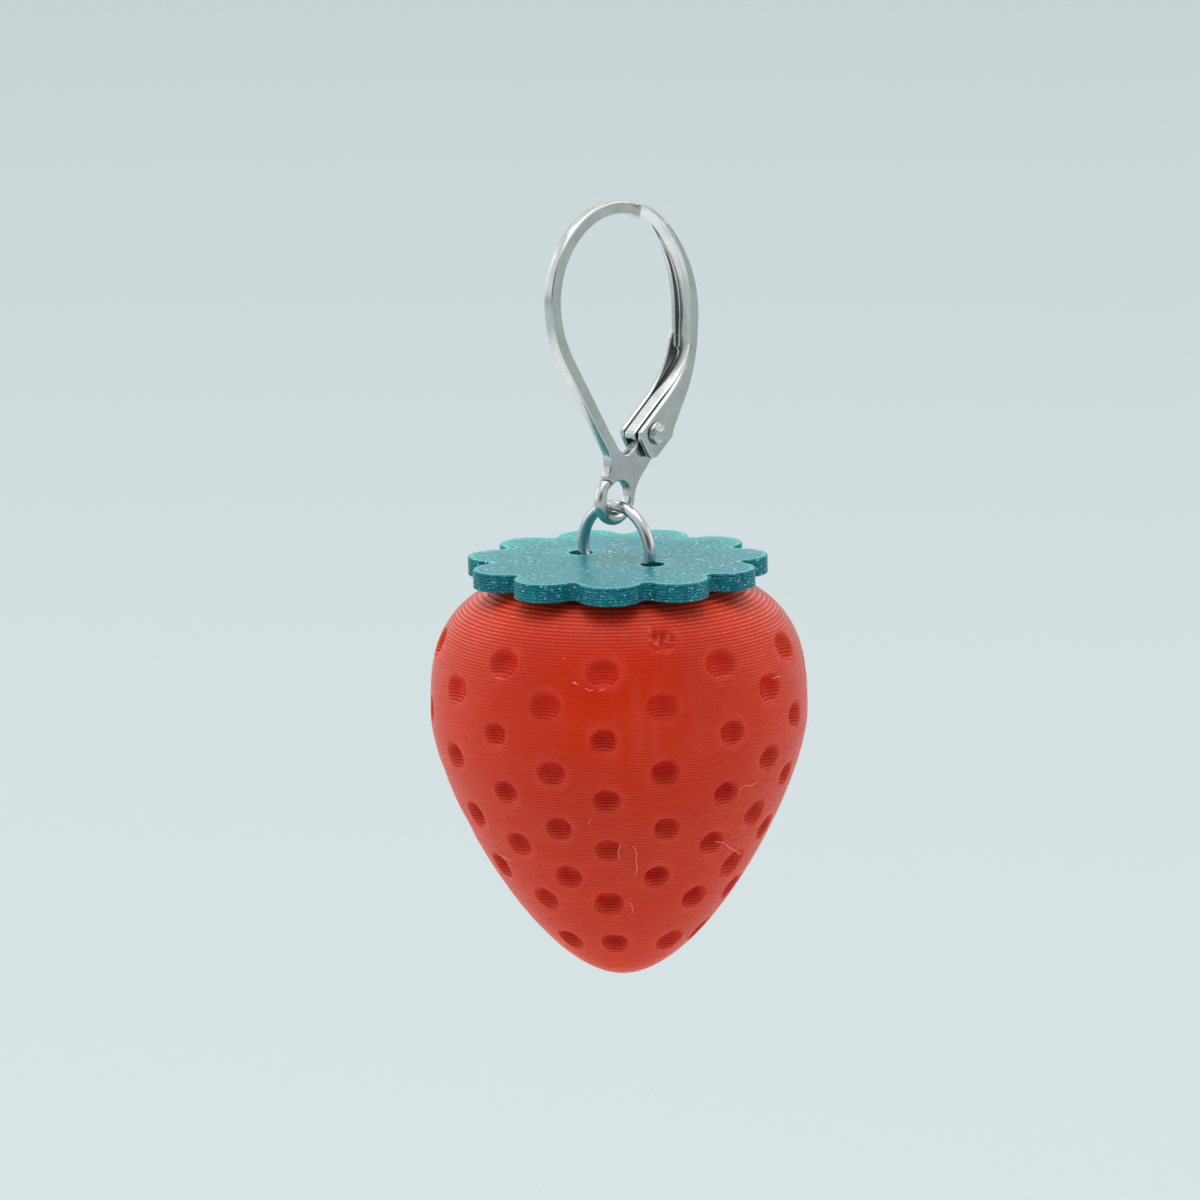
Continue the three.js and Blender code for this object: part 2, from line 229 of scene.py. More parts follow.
def camera_axes():
    """The camera's right, up and backward directions, in the frame of the model."""
    turn, lift, lean = CAMERA_TURN, CAMERA_LIFT, CAMERA_LEAN
    back = Vector((math.sin(turn) * math.cos(lift), -math.cos(turn) * math.cos(lift), math.sin(lift)))
    level = Vector((math.cos(turn), math.sin(turn), 0))
    steep = back.cross(level)
    right = math.cos(lean) * level - math.sin(lean) * steep
    up = math.sin(lean) * level + math.cos(lean) * steep
    return right, up, back


def place_camera():
    right, up, back = camera_axes()
    aim = Vector((0, 0, CALYX_TOP)) + AIM_RIGHT * right + AIM_UP * up
    data = bpy.data.cameras.new("Camera")
    data.sensor_width = SENSOR_WIDTH
    data.lens = data.sensor_width * CAMERA_DISTANCE / FRAME_WIDTH
    data.clip_start, data.clip_end = 0.02, 20.0
    camera = put("Camera", data)
    turned = Matrix((right, up, back)).transposed().to_4x4()
    camera.matrix_world = Matrix.Translation((aim + CAMERA_DISTANCE * back) * MM) @ turned
    bpy.context.scene.camera = camera
    return camera


camera = place_camera()
print("lens", round(camera.data.lens), "mm")

# %% [markdown]
# ## Flat outlines
#
# The hook and its lever are cut from sheet, so each begins as an outline drawn in the plane of
# the sheet. A small pen class collects straight runs, arcs and bends, much as a draughtsman's
# pen would. The sheet's plane is (y, z), and x runs through its thickness.

# %% A pen for outlines


def polar(centre, radius, angle):
    """The point at an angle in degrees on a circle."""
    angle = math.radians(angle)
    return centre[0] + radius * math.cos(angle), centre[1] + radius * math.sin(angle)


def bezier(marks, shares):
    """Points of a Bezier curve from its start, handles and end, at shares of its way."""
    degree, t = len(marks) - 1, np.asarray(shares)[:, None]
    return sum(
        math.comb(degree, i) * (1 - t) ** (degree - i) * t ** i * np.array(mark)
        for i, mark in enumerate(marks)
    )


class Pen:
    """Collects the points of a flat outline, in millimetres."""

    def __init__(self, *corners):
        self.points = list(corners)

    def line(self, *corners):
        self.points += list(corners)
        return self

    def arc(self, centre, radius, start, end, steps=24):
        """An arc between two angles in degrees. It runs backwards where end is below start."""
        self.points += [polar(centre, radius, angle) for angle in np.linspace(start, end, steps + 1)]
        return self

    def curve(self, steps, *marks):
        self.points += bezier([self.points[-1], *marks], np.linspace(0, 1, steps + 1)[1:]).tolist()
        return self

    def bend(self, corner, end, steps=10):
        """A bend that heads for a corner and leaves it towards the end."""
        return self.curve(steps, corner, end)

    def sweep(self, first, second, end, steps=20):
        """A long curve with two handles."""
        return self.curve(steps, first, second, end)

    def closed(self):
        """The outline as an array, anticlockwise, without points that lie on each other."""
        kept = []
        for point in self.points:
            if not kept or math.dist(point, kept[-1]) > SAME_POINT:
                kept.append(point)
        if math.dist(kept[0], kept[-1]) <= SAME_POINT:
            kept.pop()
        outline = np.array(kept, float)
        following = np.roll(outline, -1, axis=0)
        area = np.sum(outline[:, 0] * following[:, 1] - outline[:, 1] * following[:, 0])
        return outline if area > 0 else outline[::-1]


def inset(outline, amount):
    """The outline moved into its own area by an amount, corner by corner."""
    ahead = np.roll(outline, -1, axis=0) - outline
    ahead /= np.linalg.norm(ahead, axis=1)[:, None]
    behind = np.roll(ahead, 1, axis=0)
    inward = np.stack([-(ahead + behind)[:, 1], (ahead + behind)[:, 0]], axis=1)
    length = np.linalg.norm(inward, axis=1)[:, None]
    share = np.clip(2 / np.maximum(length, 1e-6) ** 2, 0.5, 1.2)
    return outline + amount * inward * share


print("a square's corner moves to", inset(Pen((0, 0)).line((1, 0), (1, 1), (0, 1)).closed(), 0.1)[0])

# %% [markdown]
# ## Sheet with rolled edges
#
# Stamped steel comes out of the tumbler with soft edges. A plate is built here as a stack of
# copies of its outline: the rings near each face are inset along a quarter circle, so light
# runs along every edge as it does on the real one.

# %% Build plates from outlines


def full_turn(steps):
    """Evenly spaced angles round a full turn, in radians."""
    return np.linspace(0, 2 * math.pi, steps, endpoint=False)


def at_height(flat, height):
    """Flat points, lifted to a height."""
    return np.column_stack([flat, np.full(len(flat), height)])


def ring_walls(rings, count):
    """Quads that join each ring of points to the next one."""
    faces = []
    for k in range(rings - 1):
        for i in range(count):
            j = (i + 1) % count
            faces.append((k * count + i, k * count + j, (k + 1) * count + j, (k + 1) * count + i))
    return faces


def plate(outline, low, high, edge, steps=4):
    """Points and faces of a plate in the YZ plane, between two values of x. The radius of its
    edges is one number, or a number for each corner of the outline."""
    count = len(outline)
    edge = np.broadcast_to(edge, count)[:, None]
    angles = np.linspace(0, math.pi / 2, steps + 1)
    rings = [(low, 1, a) for a in angles] + [(high, -1, a) for a in reversed(angles)]
    points = []
    for face, way, a in rings:
        moved = inset(outline, edge * (1 - math.sin(a)))
        points.append(np.column_stack([face + way * edge * (1 - math.cos(a)), moved]))
    faces = ring_walls(len(rings), count)
    caps = [tuple(reversed(range(count))), tuple(range((len(rings) - 1) * count, len(rings) * count))]
    return np.concatenate(points), faces + caps


def piece(name, points, faces):
    """A mesh object with its place in its mesh. Points are given in millimetres. Faces with more
    than four sides are flat caps, and the rest is shaded smooth."""
    mesh = new_mesh(name, np.asarray(points) * MM, faces)
    mesh.polygons.foreach_set("use_smooth", [len(face) <= 4 for face in faces])
    mesh.update()
    return put(name, mesh)


def tell(made):
    """Prints a piece's size and how many triangles it has."""
    points = np.array([v.co for v in made.data.vertices]) / MM
    made.data.calc_loop_triangles()
    size = " x ".join(f"{s:.2f}" for s in points.max(0) - points.min(0))
    print(f"{made.name}: {size} mm, {len(made.data.loop_triangles)} triangles")


# %% [markdown]
# ## The ear hook
#
# One stamped sheet makes the bow, the straight strand, the short arm with the pivot's ear and
# the loop at the bottom. The loop is slit where it was opened and closed round the jump ring.

# %% Draw and build the ear hook
BOW_CENTRE = (0.0, -4.78)
BOW_RADIUS = 4.78
STRAND_WIDTH = 0.84
STRAND_TILT = math.radians(32)
STRAND_SPREAD = 0.19
TIP_ANGLE = 63.5
SHEET = 0.7
SHEET_EDGE = 0.13
LOOP_EDGE = 0.31
LOOP_HOLE = (0.0, -17.1)
LOOP_HOLE_RADIUS = 0.95
LOOP_SLIT = 129.0
LOOP_SLIT_HALF = 0.03
LOOP_LIP = 1.62
LOOP_OUTER = 1.54
LOOP_NEAR = 1.95
PIVOT = (2.75, -13.56)
EAR_RADIUS = 0.6


def on_strand(distance, depth):
    """A point this far down the straight strand and this deep in from its outer edge."""
    reach = BOW_RADIUS + STRAND_WIDTH + STRAND_SPREAD - depth
    return (
        BOW_CENTRE[0] - reach * math.cos(STRAND_TILT) + distance * math.sin(STRAND_TILT),
        BOW_CENTRE[1] - reach * math.sin(STRAND_TILT) - distance * math.cos(STRAND_TILT),
    )


def strand_corner(depth):
    """Where that edge, carried on upwards, would meet the upright side of the bow."""
    side = -(BOW_RADIUS + STRAND_WIDTH - depth)
    return on_strand((side - on_strand(0, depth)[0]) / math.sin(STRAND_TILT), depth)


def hook_outline():
    outer = BOW_RADIUS + STRAND_WIDTH
    pen = Pen().arc(BOW_CENTRE, outer - 0.22, TIP_ANGLE, 72, 4)
    pen.arc(BOW_CENTRE, outer, 73.5, 180, 60)
    pen.bend(strand_corner(0), on_strand(1.0, 0), 12)
    pen.line(on_strand(7.4, 0))
    lip = math.radians(LOOP_SLIT)
    lip_end = (
        LOOP_LIP * math.cos(lip) + math.sin(lip) * LOOP_SLIT_HALF,
        LOOP_HOLE[1] + LOOP_LIP * math.sin(lip) - math.cos(lip) * LOOP_SLIT_HALF,
    )
    pen.bend((-0.42, -15.05), lip_end, 12)
    pen.arc(LOOP_HOLE, LOOP_HOLE_RADIUS, LOOP_SLIT - 1.8, LOOP_SLIT + 1.8 - 360, 56)
    pen.arc((-0.17, -17.28), LOOP_OUTER, 121, 355, 48)
    pen.bend((1.42, -16.71), (2.17, -15.99))
    pen.line((2.93, -15.25))
    pen.bend((3.8, -14.4), (PIVOT[0] + EAR_RADIUS, PIVOT[1]))
    pen.arc(PIVOT, EAR_RADIUS, 0, 143, 18)
    pen.line((1.62, -14.18))
    pen.bend((0.55, -15.05), on_strand(7.77, STRAND_WIDTH), 14)
    pen.line(on_strand(1.0, STRAND_WIDTH))
    pen.bend(strand_corner(STRAND_WIDTH), (-BOW_RADIUS, BOW_CENTRE[1]), 12)
    pen.arc(BOW_CENTRE, BOW_RADIUS, 180, TIP_ANGLE, 60)
    return pen.closed()


def hook_edges(outline):
    """Edge radii of the hook: the open side and the foot of the loop are rounded like wire."""
    way = outline - np.array(LOOP_HOLE)
    angle = np.degrees(np.arctan2(way[:, 1], way[:, 0])) % 360
    soft = np.interp(angle, [130, 150, 305, 340], [0, 1, 1, 0])
    soft *= np.linalg.norm(way, axis=1) < LOOP_NEAR
    return SHEET_EDGE + soft * (LOOP_EDGE - SHEET_EDGE)


outline = hook_outline()
ear_hook = piece("ear_hook", *plate(outline, -SHEET / 2, SHEET / 2, hook_edges(outline), 6))
tell(ear_hook)

# %% [markdown]
# ## The closing lever
#
# The lever is one thinner sheet folded into a channel: wide cheeks that straddle the ear, a
# narrower channel above them, and a spring tongue slit free between the cheeks. Folding leaves
# no sharp inside corner, so the flat parts are laid over each other and then fused by a fine
# voxel remesh, which melts every crease to a small radius. It works at 1000 times the real
# size, because a voxel has a least size, and it is brought back to metres at the end.

# %% Draw the parts of the lever
TONGUE_END = (1.42, -13.33)
BEND_START = (3.64, -11.65)
BEND_CORNER = (5.6, -10.2)
BEND_END = (6.05, -8.4)
LEVER_SHEET = 0.36
WEB_OUTER = 5.64


def on_bow(radius, angle):
    return polar(BOW_CENTRE, radius, angle)


def cheek_outline(forward=0.0):
    """A cheek, and how far the bend of its front edge stands forward."""
    pen = Pen(TONGUE_END).line((1.42, -13.75), (2.12, -14.9))
    pen.bend((2.22, -15.06), (2.45, -15.08)).line((2.75, -15.1), (4.1, -14.08))
    pen.bend((4.26, -13.95), (4.3, -13.6)).line((5.55, -11.55))
    pen.bend((6.5, -9.8), (6.62, -7.8)).line((6.05, -7.8), (BEND_END[0] - forward, BEND_END[1]))
    pen.bend((BEND_CORNER[0] - 0.8 * forward, BEND_CORNER[1] + 0.2 * forward), BEND_START, 16)
    return pen.closed()


def bulb_outline():
    """The rolled end of the tongue, which rides over the top of the ear."""
    pen = Pen((1.86, -13.58))
    pen.arc((1.58, -13.58), 0.28, 0, 345, 20)
    return pen.closed()


def channel_outline():
    pen = Pen((5.98, -8.9)).line((6.5, -8.9), (6.7, -6.9))
    pen.sweep((6.7, -4.4), (5.62, -2.54), on_bow(WEB_OUTER, 43))
    pen.line(on_bow(WEB_OUTER - 0.2, 46))
    pen.sweep((5.2, -2.6), (5.97, -4.3), (5.97, -6.6))
    return pen.closed()


def web_outline():
    pen = Pen((6.56, -9.1)).line((6.62, -7.8), (6.7, -6.9))
    pen.sweep((6.7, -4.4), (5.62, -2.54), on_bow(WEB_OUTER, 43))
    pen.arc(BOW_CENTRE, WEB_OUTER, 43, 70.5, 14)
    pen.arc(BOW_CENTRE, WEB_OUTER - 0.2, 70.5, 43, 14)
    pen.sweep((5.43, -2.7), (6.36, -4.5), (6.36, -6.9)).line((6.3, -7.8), (6.24, -9.1))
    return pen.closed()


def tongue_outline(top):
    """The tongue lies flush between the cheeks at its foot and deeper towards its top."""
    along = np.array(BEND_START) - np.array(TONGUE_END)
    along /= np.linalg.norm(along)
    under = np.array([along[1], -along[0]]) * LEVER_SHEET
    pen = Pen(TONGUE_END).line(
        tuple(np.array(TONGUE_END) + under),
        tuple(np.array(BEND_START) + under),
    )
    pen.bend((6.05, -10.45), (6.58, top - 0.5), 16).line((6.62, top - 0.1), (6.5, top - 0.05))
    pen.bend((6.25, top - 0.15), (6.22, top - 0.7))
    pen.bend((5.8, -10.25), BEND_START, 16)
    return pen.closed()


# Each part's outline, and the x of its two faces.
LEVER_PARTS = [
    (cheek_outline(), 0.55, 0.89),
    (cheek_outline(0.32), -0.91, -0.55),
    (channel_outline(), 0.46, 0.89),
    (channel_outline(), -0.75, -0.42),
    (web_outline(), -0.75, 0.78),
    (tongue_outline(-8.6), -0.42, 0.42),
    (tongue_outline(-8.4), -0.3, 0.3),
    (bulb_outline(), -0.42, 0.42),
]
print("lever parts:", len(LEVER_PARTS))

# %% Fuse the lever
LEVER_EDGE = 0.06
FUSE_VOXEL = 0.05


def fused(name, parts):
    """One closed skin round several overlapping plates."""
    skin = Skin()
    for outline, low, high in parts:
        skin.add(*plate(outline, low, high, LEVER_EDGE, 2))
    rough = put(name + "_parts", skin.mesh(name + "_parts"))
    remesh = rough.modifiers.new("Fuse", "REMESH")
    remesh.mode = "VOXEL"
    remesh.voxel_size = FUSE_VOXEL
    remesh.use_smooth_shade = True
    smooth = rough.modifiers.new("Melt creases", "SMOOTH")
    smooth.factor, smooth.iterations = 0.5, 2
    shaped = after_modifiers(rough)
    bpy.data.objects.remove(rough)
    shaped.transform(Matrix.Scale(MM, 4))
    shaped.name = name
    return put(name, shaped)


closing_lever = fused("closing_lever", LEVER_PARTS)
tell(closing_lever)

# %% [markdown]
# ## The rivet
#
# A pin holds the lever in the ear, and its ends are peened into low domes outside the cheeks.
# It is a turned shape, so its profile is spun round the pivot's axis.

# %% Turn the rivet
PIN_RADIUS = 0.34
HEAD_RADIUS = 0.70
DOME_BASE = 0.96
DOME_HEIGHT = 0.34


def turned_across(profile, centre, sides=40):
    """Spins a profile of (x, radius) pairs round an axis along X."""
    points = []
    for x, radius in profile:
        for angle in full_turn(sides):
            points.append((x, centre[0] + radius * math.cos(angle), centre[1] + radius * math.sin(angle)))
    faces = ring_walls(len(profile), sides)
    last = (len(profile) - 1) * sides
    faces += [tuple(reversed(range(sides))), tuple(range(last, last + sides))]
    return points, faces


def rivet_profile():
    dome = [(DOME_BASE + DOME_HEIGHT * math.sin(a), HEAD_RADIUS * math.cos(a))
            for a in np.linspace(0, 1.45, 9)]
    right = [(0.5, PIN_RADIUS), (0.93, PIN_RADIUS), (0.93, 0.64), (0.945, 0.69)] + dome
    left = [(-x, radius) for x, radius in reversed(right)]
    return left + right


rivet_pin = piece("rivet_pin", *turned_across(rivet_profile(), PIVOT))
tell(rivet_pin)

# %% [markdown]
# ## Wire along a path
#
# The jump ring is round wire, and so are the fine strings that the printer's nozzle left on the
# berry. Both follow a path, which is a job for Geometry Nodes: the tree turns a mesh line into
# a curve and sweeps a circle along it. Its inputs are the wire's radius and number of sides.

# %% A node tree that sweeps wire


def wire_tree():
    tree, w = new_tree(
        "Wire along a path", "GeometryNodeTree",
        [("Path", "Geometry"), ("Wire radius", "Float"), ("Sides", "Int"), ("Finish", "Material")],
        [("Wire", "Geometry")],
    )
    given = w.node("NodeGroupInput").outputs
    curve = w.node("GeometryNodeMeshToCurve", {"Mesh": given["Path"]}).outputs["Curve"]
    circle = w.node("GeometryNodeCurvePrimitiveCircle", {
        "Radius": given["Wire radius"], "Resolution": given["Sides"]}).outputs["Curve"]
    swept = w.node("GeometryNodeCurveToMesh", {
        "Curve": curve, "Profile Curve": circle, "Fill Caps": True}).outputs["Mesh"]
    smooth = w.node("GeometryNodeSetShadeSmooth", {"Geometry": swept})
    end_tree(w, smooth.outputs["Geometry"], given["Finish"], "Wire")
    return tree


WIRE_TREE = wire_tree()


def wire(name, paths, radius, sides, finish):
    """Sweeps wire along paths, each a list of points in millimetres, and keeps a plain mesh."""
    points, edges = [], []
    for path in paths:
        start = len(points)
        points += [np.array(p) * MM for p in path]
        edges += [(start + i, start + i + 1) for i in range(len(path) - 1)]
    line = put(name + "_path", new_mesh(name + "_path", points, edges=edges))
    swept = run_tree(line, WIRE_TREE, {"Wire radius": radius * MM, "Sides": sides, "Finish": finish})
    bpy.data.objects.remove(line)
    swept.name = name
    return put(name, swept)


print("tree inputs:", [s.name for s in WIRE_TREE.interface.items_tree if s.in_out == "INPUT"])

# %% [markdown]
# ## Layer lines, shared by the printed parts
#
# A printed part is a pile of flat strands, each 0.18 mm thick. Seen close, its side is a row of
# tiny rounded ridges, and now and then one strand sits proud or is a little starved. A shader
# group gives this relief as a height: a rounded wave along Z, with a slow random change from
# layer to layer and along each strand.

# %% The layer-line group
LAYER = 0.18
CALYX_THICKNESS = 1.1
CALYX_LAYERS = 6


def layer_group():
    group, w = new_tree(
        "Layer lines", "ShaderNodeTree",
        [("Layer height", "Float", LAYER * MM), ("Bulge", "Float", 0.3), ("Unevenness", "Float", 0.15)],
        [("Height", "Float"), ("Groove", "Float"), ("Upward", "Float"), ("Band", "Float")],
    )
    given, result = w.node("NodeGroupInput").outputs, w.node("NodeGroupOutput")
    coordinates = w.node("ShaderNodeTexCoord").outputs
    place, facing = coordinates["Object"], w.along("Z", coordinates["Normal"])
    # How far up its own layer a point lies gives the tread of a step and the bulge of a strand.
    turns = w.math("DIVIDE", w.along("Z", place), given["Layer height"])
    strand = w.math("FLOOR", turns)
    share = w.math("SUBTRACT", turns, strand)
    tread = w.times(facing, w.math("SUBTRACT", share, 0.5))
    across = w.math("SUBTRACT", w.times(share, 2.0), 1.0)
    bulge = w.math("SQRT", w.math("SUBTRACT", 1.001, w.times(across, across)))
    ridge = w.math("ADD", w.times(tread, 0.6), w.times(bulge, given["Bulge"]))
    # Each layer differs a little from the next one, and each strand wanders along its way.
    by_layer = w.node("ShaderNodeTexWhiteNoise", {"W": strand}, noise_dimensions="1D").outputs["Value"]
    slow = w.node("ShaderNodeCombineXYZ", {
        "X": w.times(w.along("X", place), 120.0),
        "Y": w.times(w.along("Y", place), 120.0),
        "Z": w.times(strand, 7.3),
    }).outputs["Vector"]
    wander = w.noise(slow, 1.0)
    change = w.math("ADD", w.math("SUBTRACT", by_layer, 0.5), w.math("SUBTRACT", wander, 0.5))
    w.fill(result, {
        "Height": w.math("ADD", ridge, w.times(change, given["Unevenness"])),
        "Groove": w.times(w.ramp(bulge, 0.5, 1.0, 1.0, 0.0), w.ramp(wander, 0.3, 0.7, 0.5, 1.0)),
        "Upward": facing,
        "Band": w.math("ADD", w.times(by_layer, 0.5), w.times(wander, 0.5)),
    })
    return group


LAYER_LINES = layer_group()
print("groups:", [g.name for g in bpy.data.node_groups])

# %% [markdown]
# ## Finishes
#
# Seven finishes cover the earring: satin stamped steel, the same steel folded with painted shade inside
# the fold, polished wire, the hammered steel of the rivet, glitter-filled teal plastic with painted glow
# and shade, translucent red plastic with painted highlights and shade, and the paler red of single
# strings. Each takes its detail from the place on the object, never from where the camera stands.

# %% Set up a finish


def new_finish(name):
    material = bpy.data.materials.new(name)
    material.use_nodes = True
    tree = material.node_tree
    shader = next(n for n in tree.nodes if n.type == "BSDF_PRINCIPLED")
    return material, Wiring(tree), shader


STEEL = (0.60, 0.615, 0.605)
PAINTED_FOLD_SHADE = (0.10, 0.108, 0.11)


def steel(name, tint, low_gloss, high_gloss, grain, depth, fold=0.0):
    """Bare steel with a fine tumbled grain. The inner sides of a fold get a painted shade, darker and
    duller, within the fold's half width."""
    material, w, shader = new_finish(name)
    coordinates = w.node("ShaderNodeTexCoord").outputs
    place = coordinates["Object"]
    fine = w.noise(place, grain, 4.0, 0.6)
    gloss = w.ramp(fine, 0.3, 0.7, low_gloss, high_gloss)
    darker = tuple(0.82 * c for c in tint)
    colour = w.mix(w.ramp(w.noise(place, grain * 0.12), 0.3, 0.7), darker, tint)
    if fold:
        # Painted shade: the inner sides of the fold, which the channel keeps from the light.
        beside = w.math("ABSOLUTE", w.along("X", place))
        across = w.math("ABSOLUTE", w.along("X", coordinates["Normal"]))
        inner = w.times(w.math("LESS_THAN", beside, fold * MM), w.ramp(across, 0.6, 0.95))
        colour = w.mix(w.times(inner, 0.8), colour, PAINTED_FOLD_SHADE)
        gloss = w.math("ADD", gloss, w.times(inner, 0.15))
    bump = w.node("ShaderNodeBump", {"Height": fine, "Strength": 0.6, "Distance": depth * MM})
    w.fill(shader, {"Base Color": colour, "Metallic": 1.0, "Roughness": gloss,
                    "Normal": bump.outputs["Normal"]})
    return material


satin_steel = steel("Tumbled steel", STEEL, 0.17, 0.28, 5200.0, 0.006)
folded_steel = steel("Folded steel", STEEL, 0.17, 0.28, 5200.0, 0.006, fold=0.6)
bright_wire = steel("Polished wire", (0.56, 0.58, 0.58), 0.12, 0.2, 2500.0, 0.003)
peened_steel = steel("Peened steel", (0.50, 0.52, 0.51), 0.14, 0.26, 1500.0, 0.32)
print("steel finishes made")

# %% Finish the red print
# Where the melt ran hot and the calyx's painted shadow lies, where it dripped, and the dimple that came
# out rough.
HOT_AND_SHADED_SPOT = (7.0, -8.2, -27.0)
DRIP_SPOT = (9.3, -6.6, -28.5)
ROUGH_SPOT = (8.1, -5.1, -24.2)
# Linear colours, in the order in which they are laid on.
RED = {
    "cool melt": (0.60, 0.032, 0.009),
    "hot melt": (0.66, 0.029, 0.002),
    "drip": (0.70, 0.10, 0.06),
    "mottle": (0.70, 0.075, 0.042),
    "crest_highlight": (0.78, 0.15, 0.085),
    "bead_highlight": (0.92, 0.42, 0.32),
    "tip": (0.60, 0.030, 0.001),
    "groove_shade": (0.46, 0.008, 0.001),
    "band": (0.60, 0.05, 0.02),
    "shade": (0.46, 0.010, 0.001),
    "low floor shade": (0.46, 0.001, 0.0001),
    "high floor shade": (0.67, 0.011, 0.0008),
    "step": (0.72, 0.13, 0.08),
    "halo": (0.78, 0.11, 0.065),
    "lit floor shade": (0.42, 0.010, 0.001),
    "rough floor shade": (0.52, 0.012, 0.001),
    "speck glint": (0.82, 0.20, 0.12),
    "lip": (0.85, 0.16, 0.10),
}


def berry_plastic():
    material, w, shader = new_finish("Translucent red print")
    lines = w.node("ShaderNodeGroup", {"Bulge": 0.16, "Unevenness": 0.04}, node_tree=LAYER_LINES).outputs
    place = w.node("ShaderNodeTexCoord").outputs["Object"]
    level = w.along("Z", place)

    def cloud(scale, low, high, least=0.0, most=1.0, detail=2.0):
        return w.ramp(w.noise(place, scale, detail), low, high, least, most)

    def near_to(spot, inner, outer):
        away = w.vector("DISTANCE", place, tuple(MM * c for c in spot))
        return w.ramp(away, inner * MM, outer * MM, 1.0, 0.0, smooth=True)

    # The melt is a deeper orange where it ran hot, and paler and pinker elsewhere.
    hot = near_to(HOT_AND_SHADED_SPOT, 2.0, 6.0)
    melt = w.math("MAXIMUM", cloud(150.0, 0.42, 0.62, 0.0, 0.7), hot)
    colour = w.mix(melt, RED["cool melt"], RED["hot melt"])
    drawn = w.node("ShaderNodeMapping", {"Vector": place, "Scale": (1.0, 1.0, 0.08)}).outputs["Vector"]
    drips = w.times(w.ramp(w.noise(drawn, 1400.0, 1.0), 0.5, 0.7), near_to(DRIP_SPOT, 1.5, 4.5), 0.28)

    # Strands get a painted highlight on their upward sides, with brighter beads of painted highlight high
    # up, and a painted shade in the grooves between them.
    upward = w.ramp(lines["Upward"], 0.05, 0.7)
    strand = w.ramp(lines["Groove"], 0.0, 0.3, 1.0, 0.0)
    high = w.ramp(level, -25.4 * MM, -23.6 * MM, 0.0, 0.6)
    # The crest highlight fades where the calyx's painted shadow lies, but not high up.
    cool = w.math("MAXIMUM", w.ramp(near_to(HOT_AND_SHADED_SPOT, 3.0, 13.0), 0.0, 1.0, 1.0, 0.0), high)
    crest_highlight = w.times(w.ramp(upward, 0.0, 1.0, 0.24, 0.75), strand, cool)
    steep = w.ramp(w.math("ABSOLUTE", lines["Upward"]), 0.1, 0.7, 0.5, 0.65)

    # The dimples get a painted shade towards their floors, each to its own degree, lighter in the upper
    # rows where the top light reaches them. Their sloping floors show the strands as pale steps of
    # painted highlight, and a faint halo of stretched plastic lies round them.
    share = w.node("ShaderNodeAttribute", attribute_name="dimple_share").outputs["Fac"]
    shadow = w.times(w.ramp(share, 1.0, 0.6, smooth=True), cloud(330.0, 0.4, 0.6, 0.6),
                     w.ramp(lines["Upward"], -0.4, 0.6, 1.0, 0.75))
    deep = w.mix(w.ramp(level, -33.0 * MM, -28.0 * MM), RED["low floor shade"], RED["high floor shade"])
    step = w.times(w.ramp(share, 1.0, 0.8), strand, w.ramp(lines["Upward"], -0.1, 0.5, 0.08, 0.5),
                   cloud(500.0, 0.35, 0.6, 0.4))
    halo = w.times(w.ramp(share, 0.96, 1.15), w.ramp(share, 1.15, 1.7, 1.0, 0.0, smooth=True),
                   cloud(600.0, 0.38, 0.65, 0.0, 0.22))
    # painted shade that tones down the upward-facing lower floors, where the top light falls
    lit = w.times(w.ramp(share, 1.0, 0.85), w.ramp(lines["Upward"], 0.25, 0.8, 0.0, 0.5))
    # The rough dimple gets a darker painted shade on its floor and pale painted glints.
    torn = near_to(ROUGH_SPOT, 0.6, 1.35)
    # Each rim's lip is raised in the relief and also gets a painted highlight in the colour.
    lip = w.times(w.ramp(w.math("ABSOLUTE", w.math("SUBTRACT", share, 1.05)), 0.0, 0.12, 1.0, 0.0),
                  cloud(700.0, 0.4, 0.62), w.ramp(near_to(HOT_AND_SHADED_SPOT, 3.0, 11.0), 0.0, 1.0, 1.0, 0.35))

    colour = w.coat(colour, [
        (drips, RED["drip"]),
        (cloud(480.0, 0.46, 0.62, 0.0, 0.14, detail=3.0), RED["mottle"]),
        (crest_highlight, RED["crest_highlight"]),
        (w.times(crest_highlight, high, cloud(2600.0, 0.55, 0.68), 0.8), RED["bead_highlight"]),
        (w.ramp(level, -46.0 * MM, -42.5 * MM, 0.5, 0.0), RED["tip"]),
        # painted shade in the grooves between strands
        (w.times(lines["Groove"], steep), RED["groove_shade"]),
        (w.times(lines["Band"], 0.2), RED["band"]),
        # painted shadow of the calyx on the upward-facing shoulder
        (w.times(upward, near_to(HOT_AND_SHADED_SPOT, 3.0, 9.0), 0.5), RED["shade"]),
        (shadow, deep),
        (step, RED["step"]),
        (halo, RED["halo"]),
        (lit, RED["lit floor shade"]),
        (w.times(torn, cloud(1500.0, 0.4, 0.55, 0.15, 0.6)), RED["rough floor shade"]),
        (w.times(torn, cloud(2600.0, 0.54, 0.72, 0.0, 0.45)), RED["speck glint"]),
        (w.times(lip, 0.25), RED["lip"]),
    ])

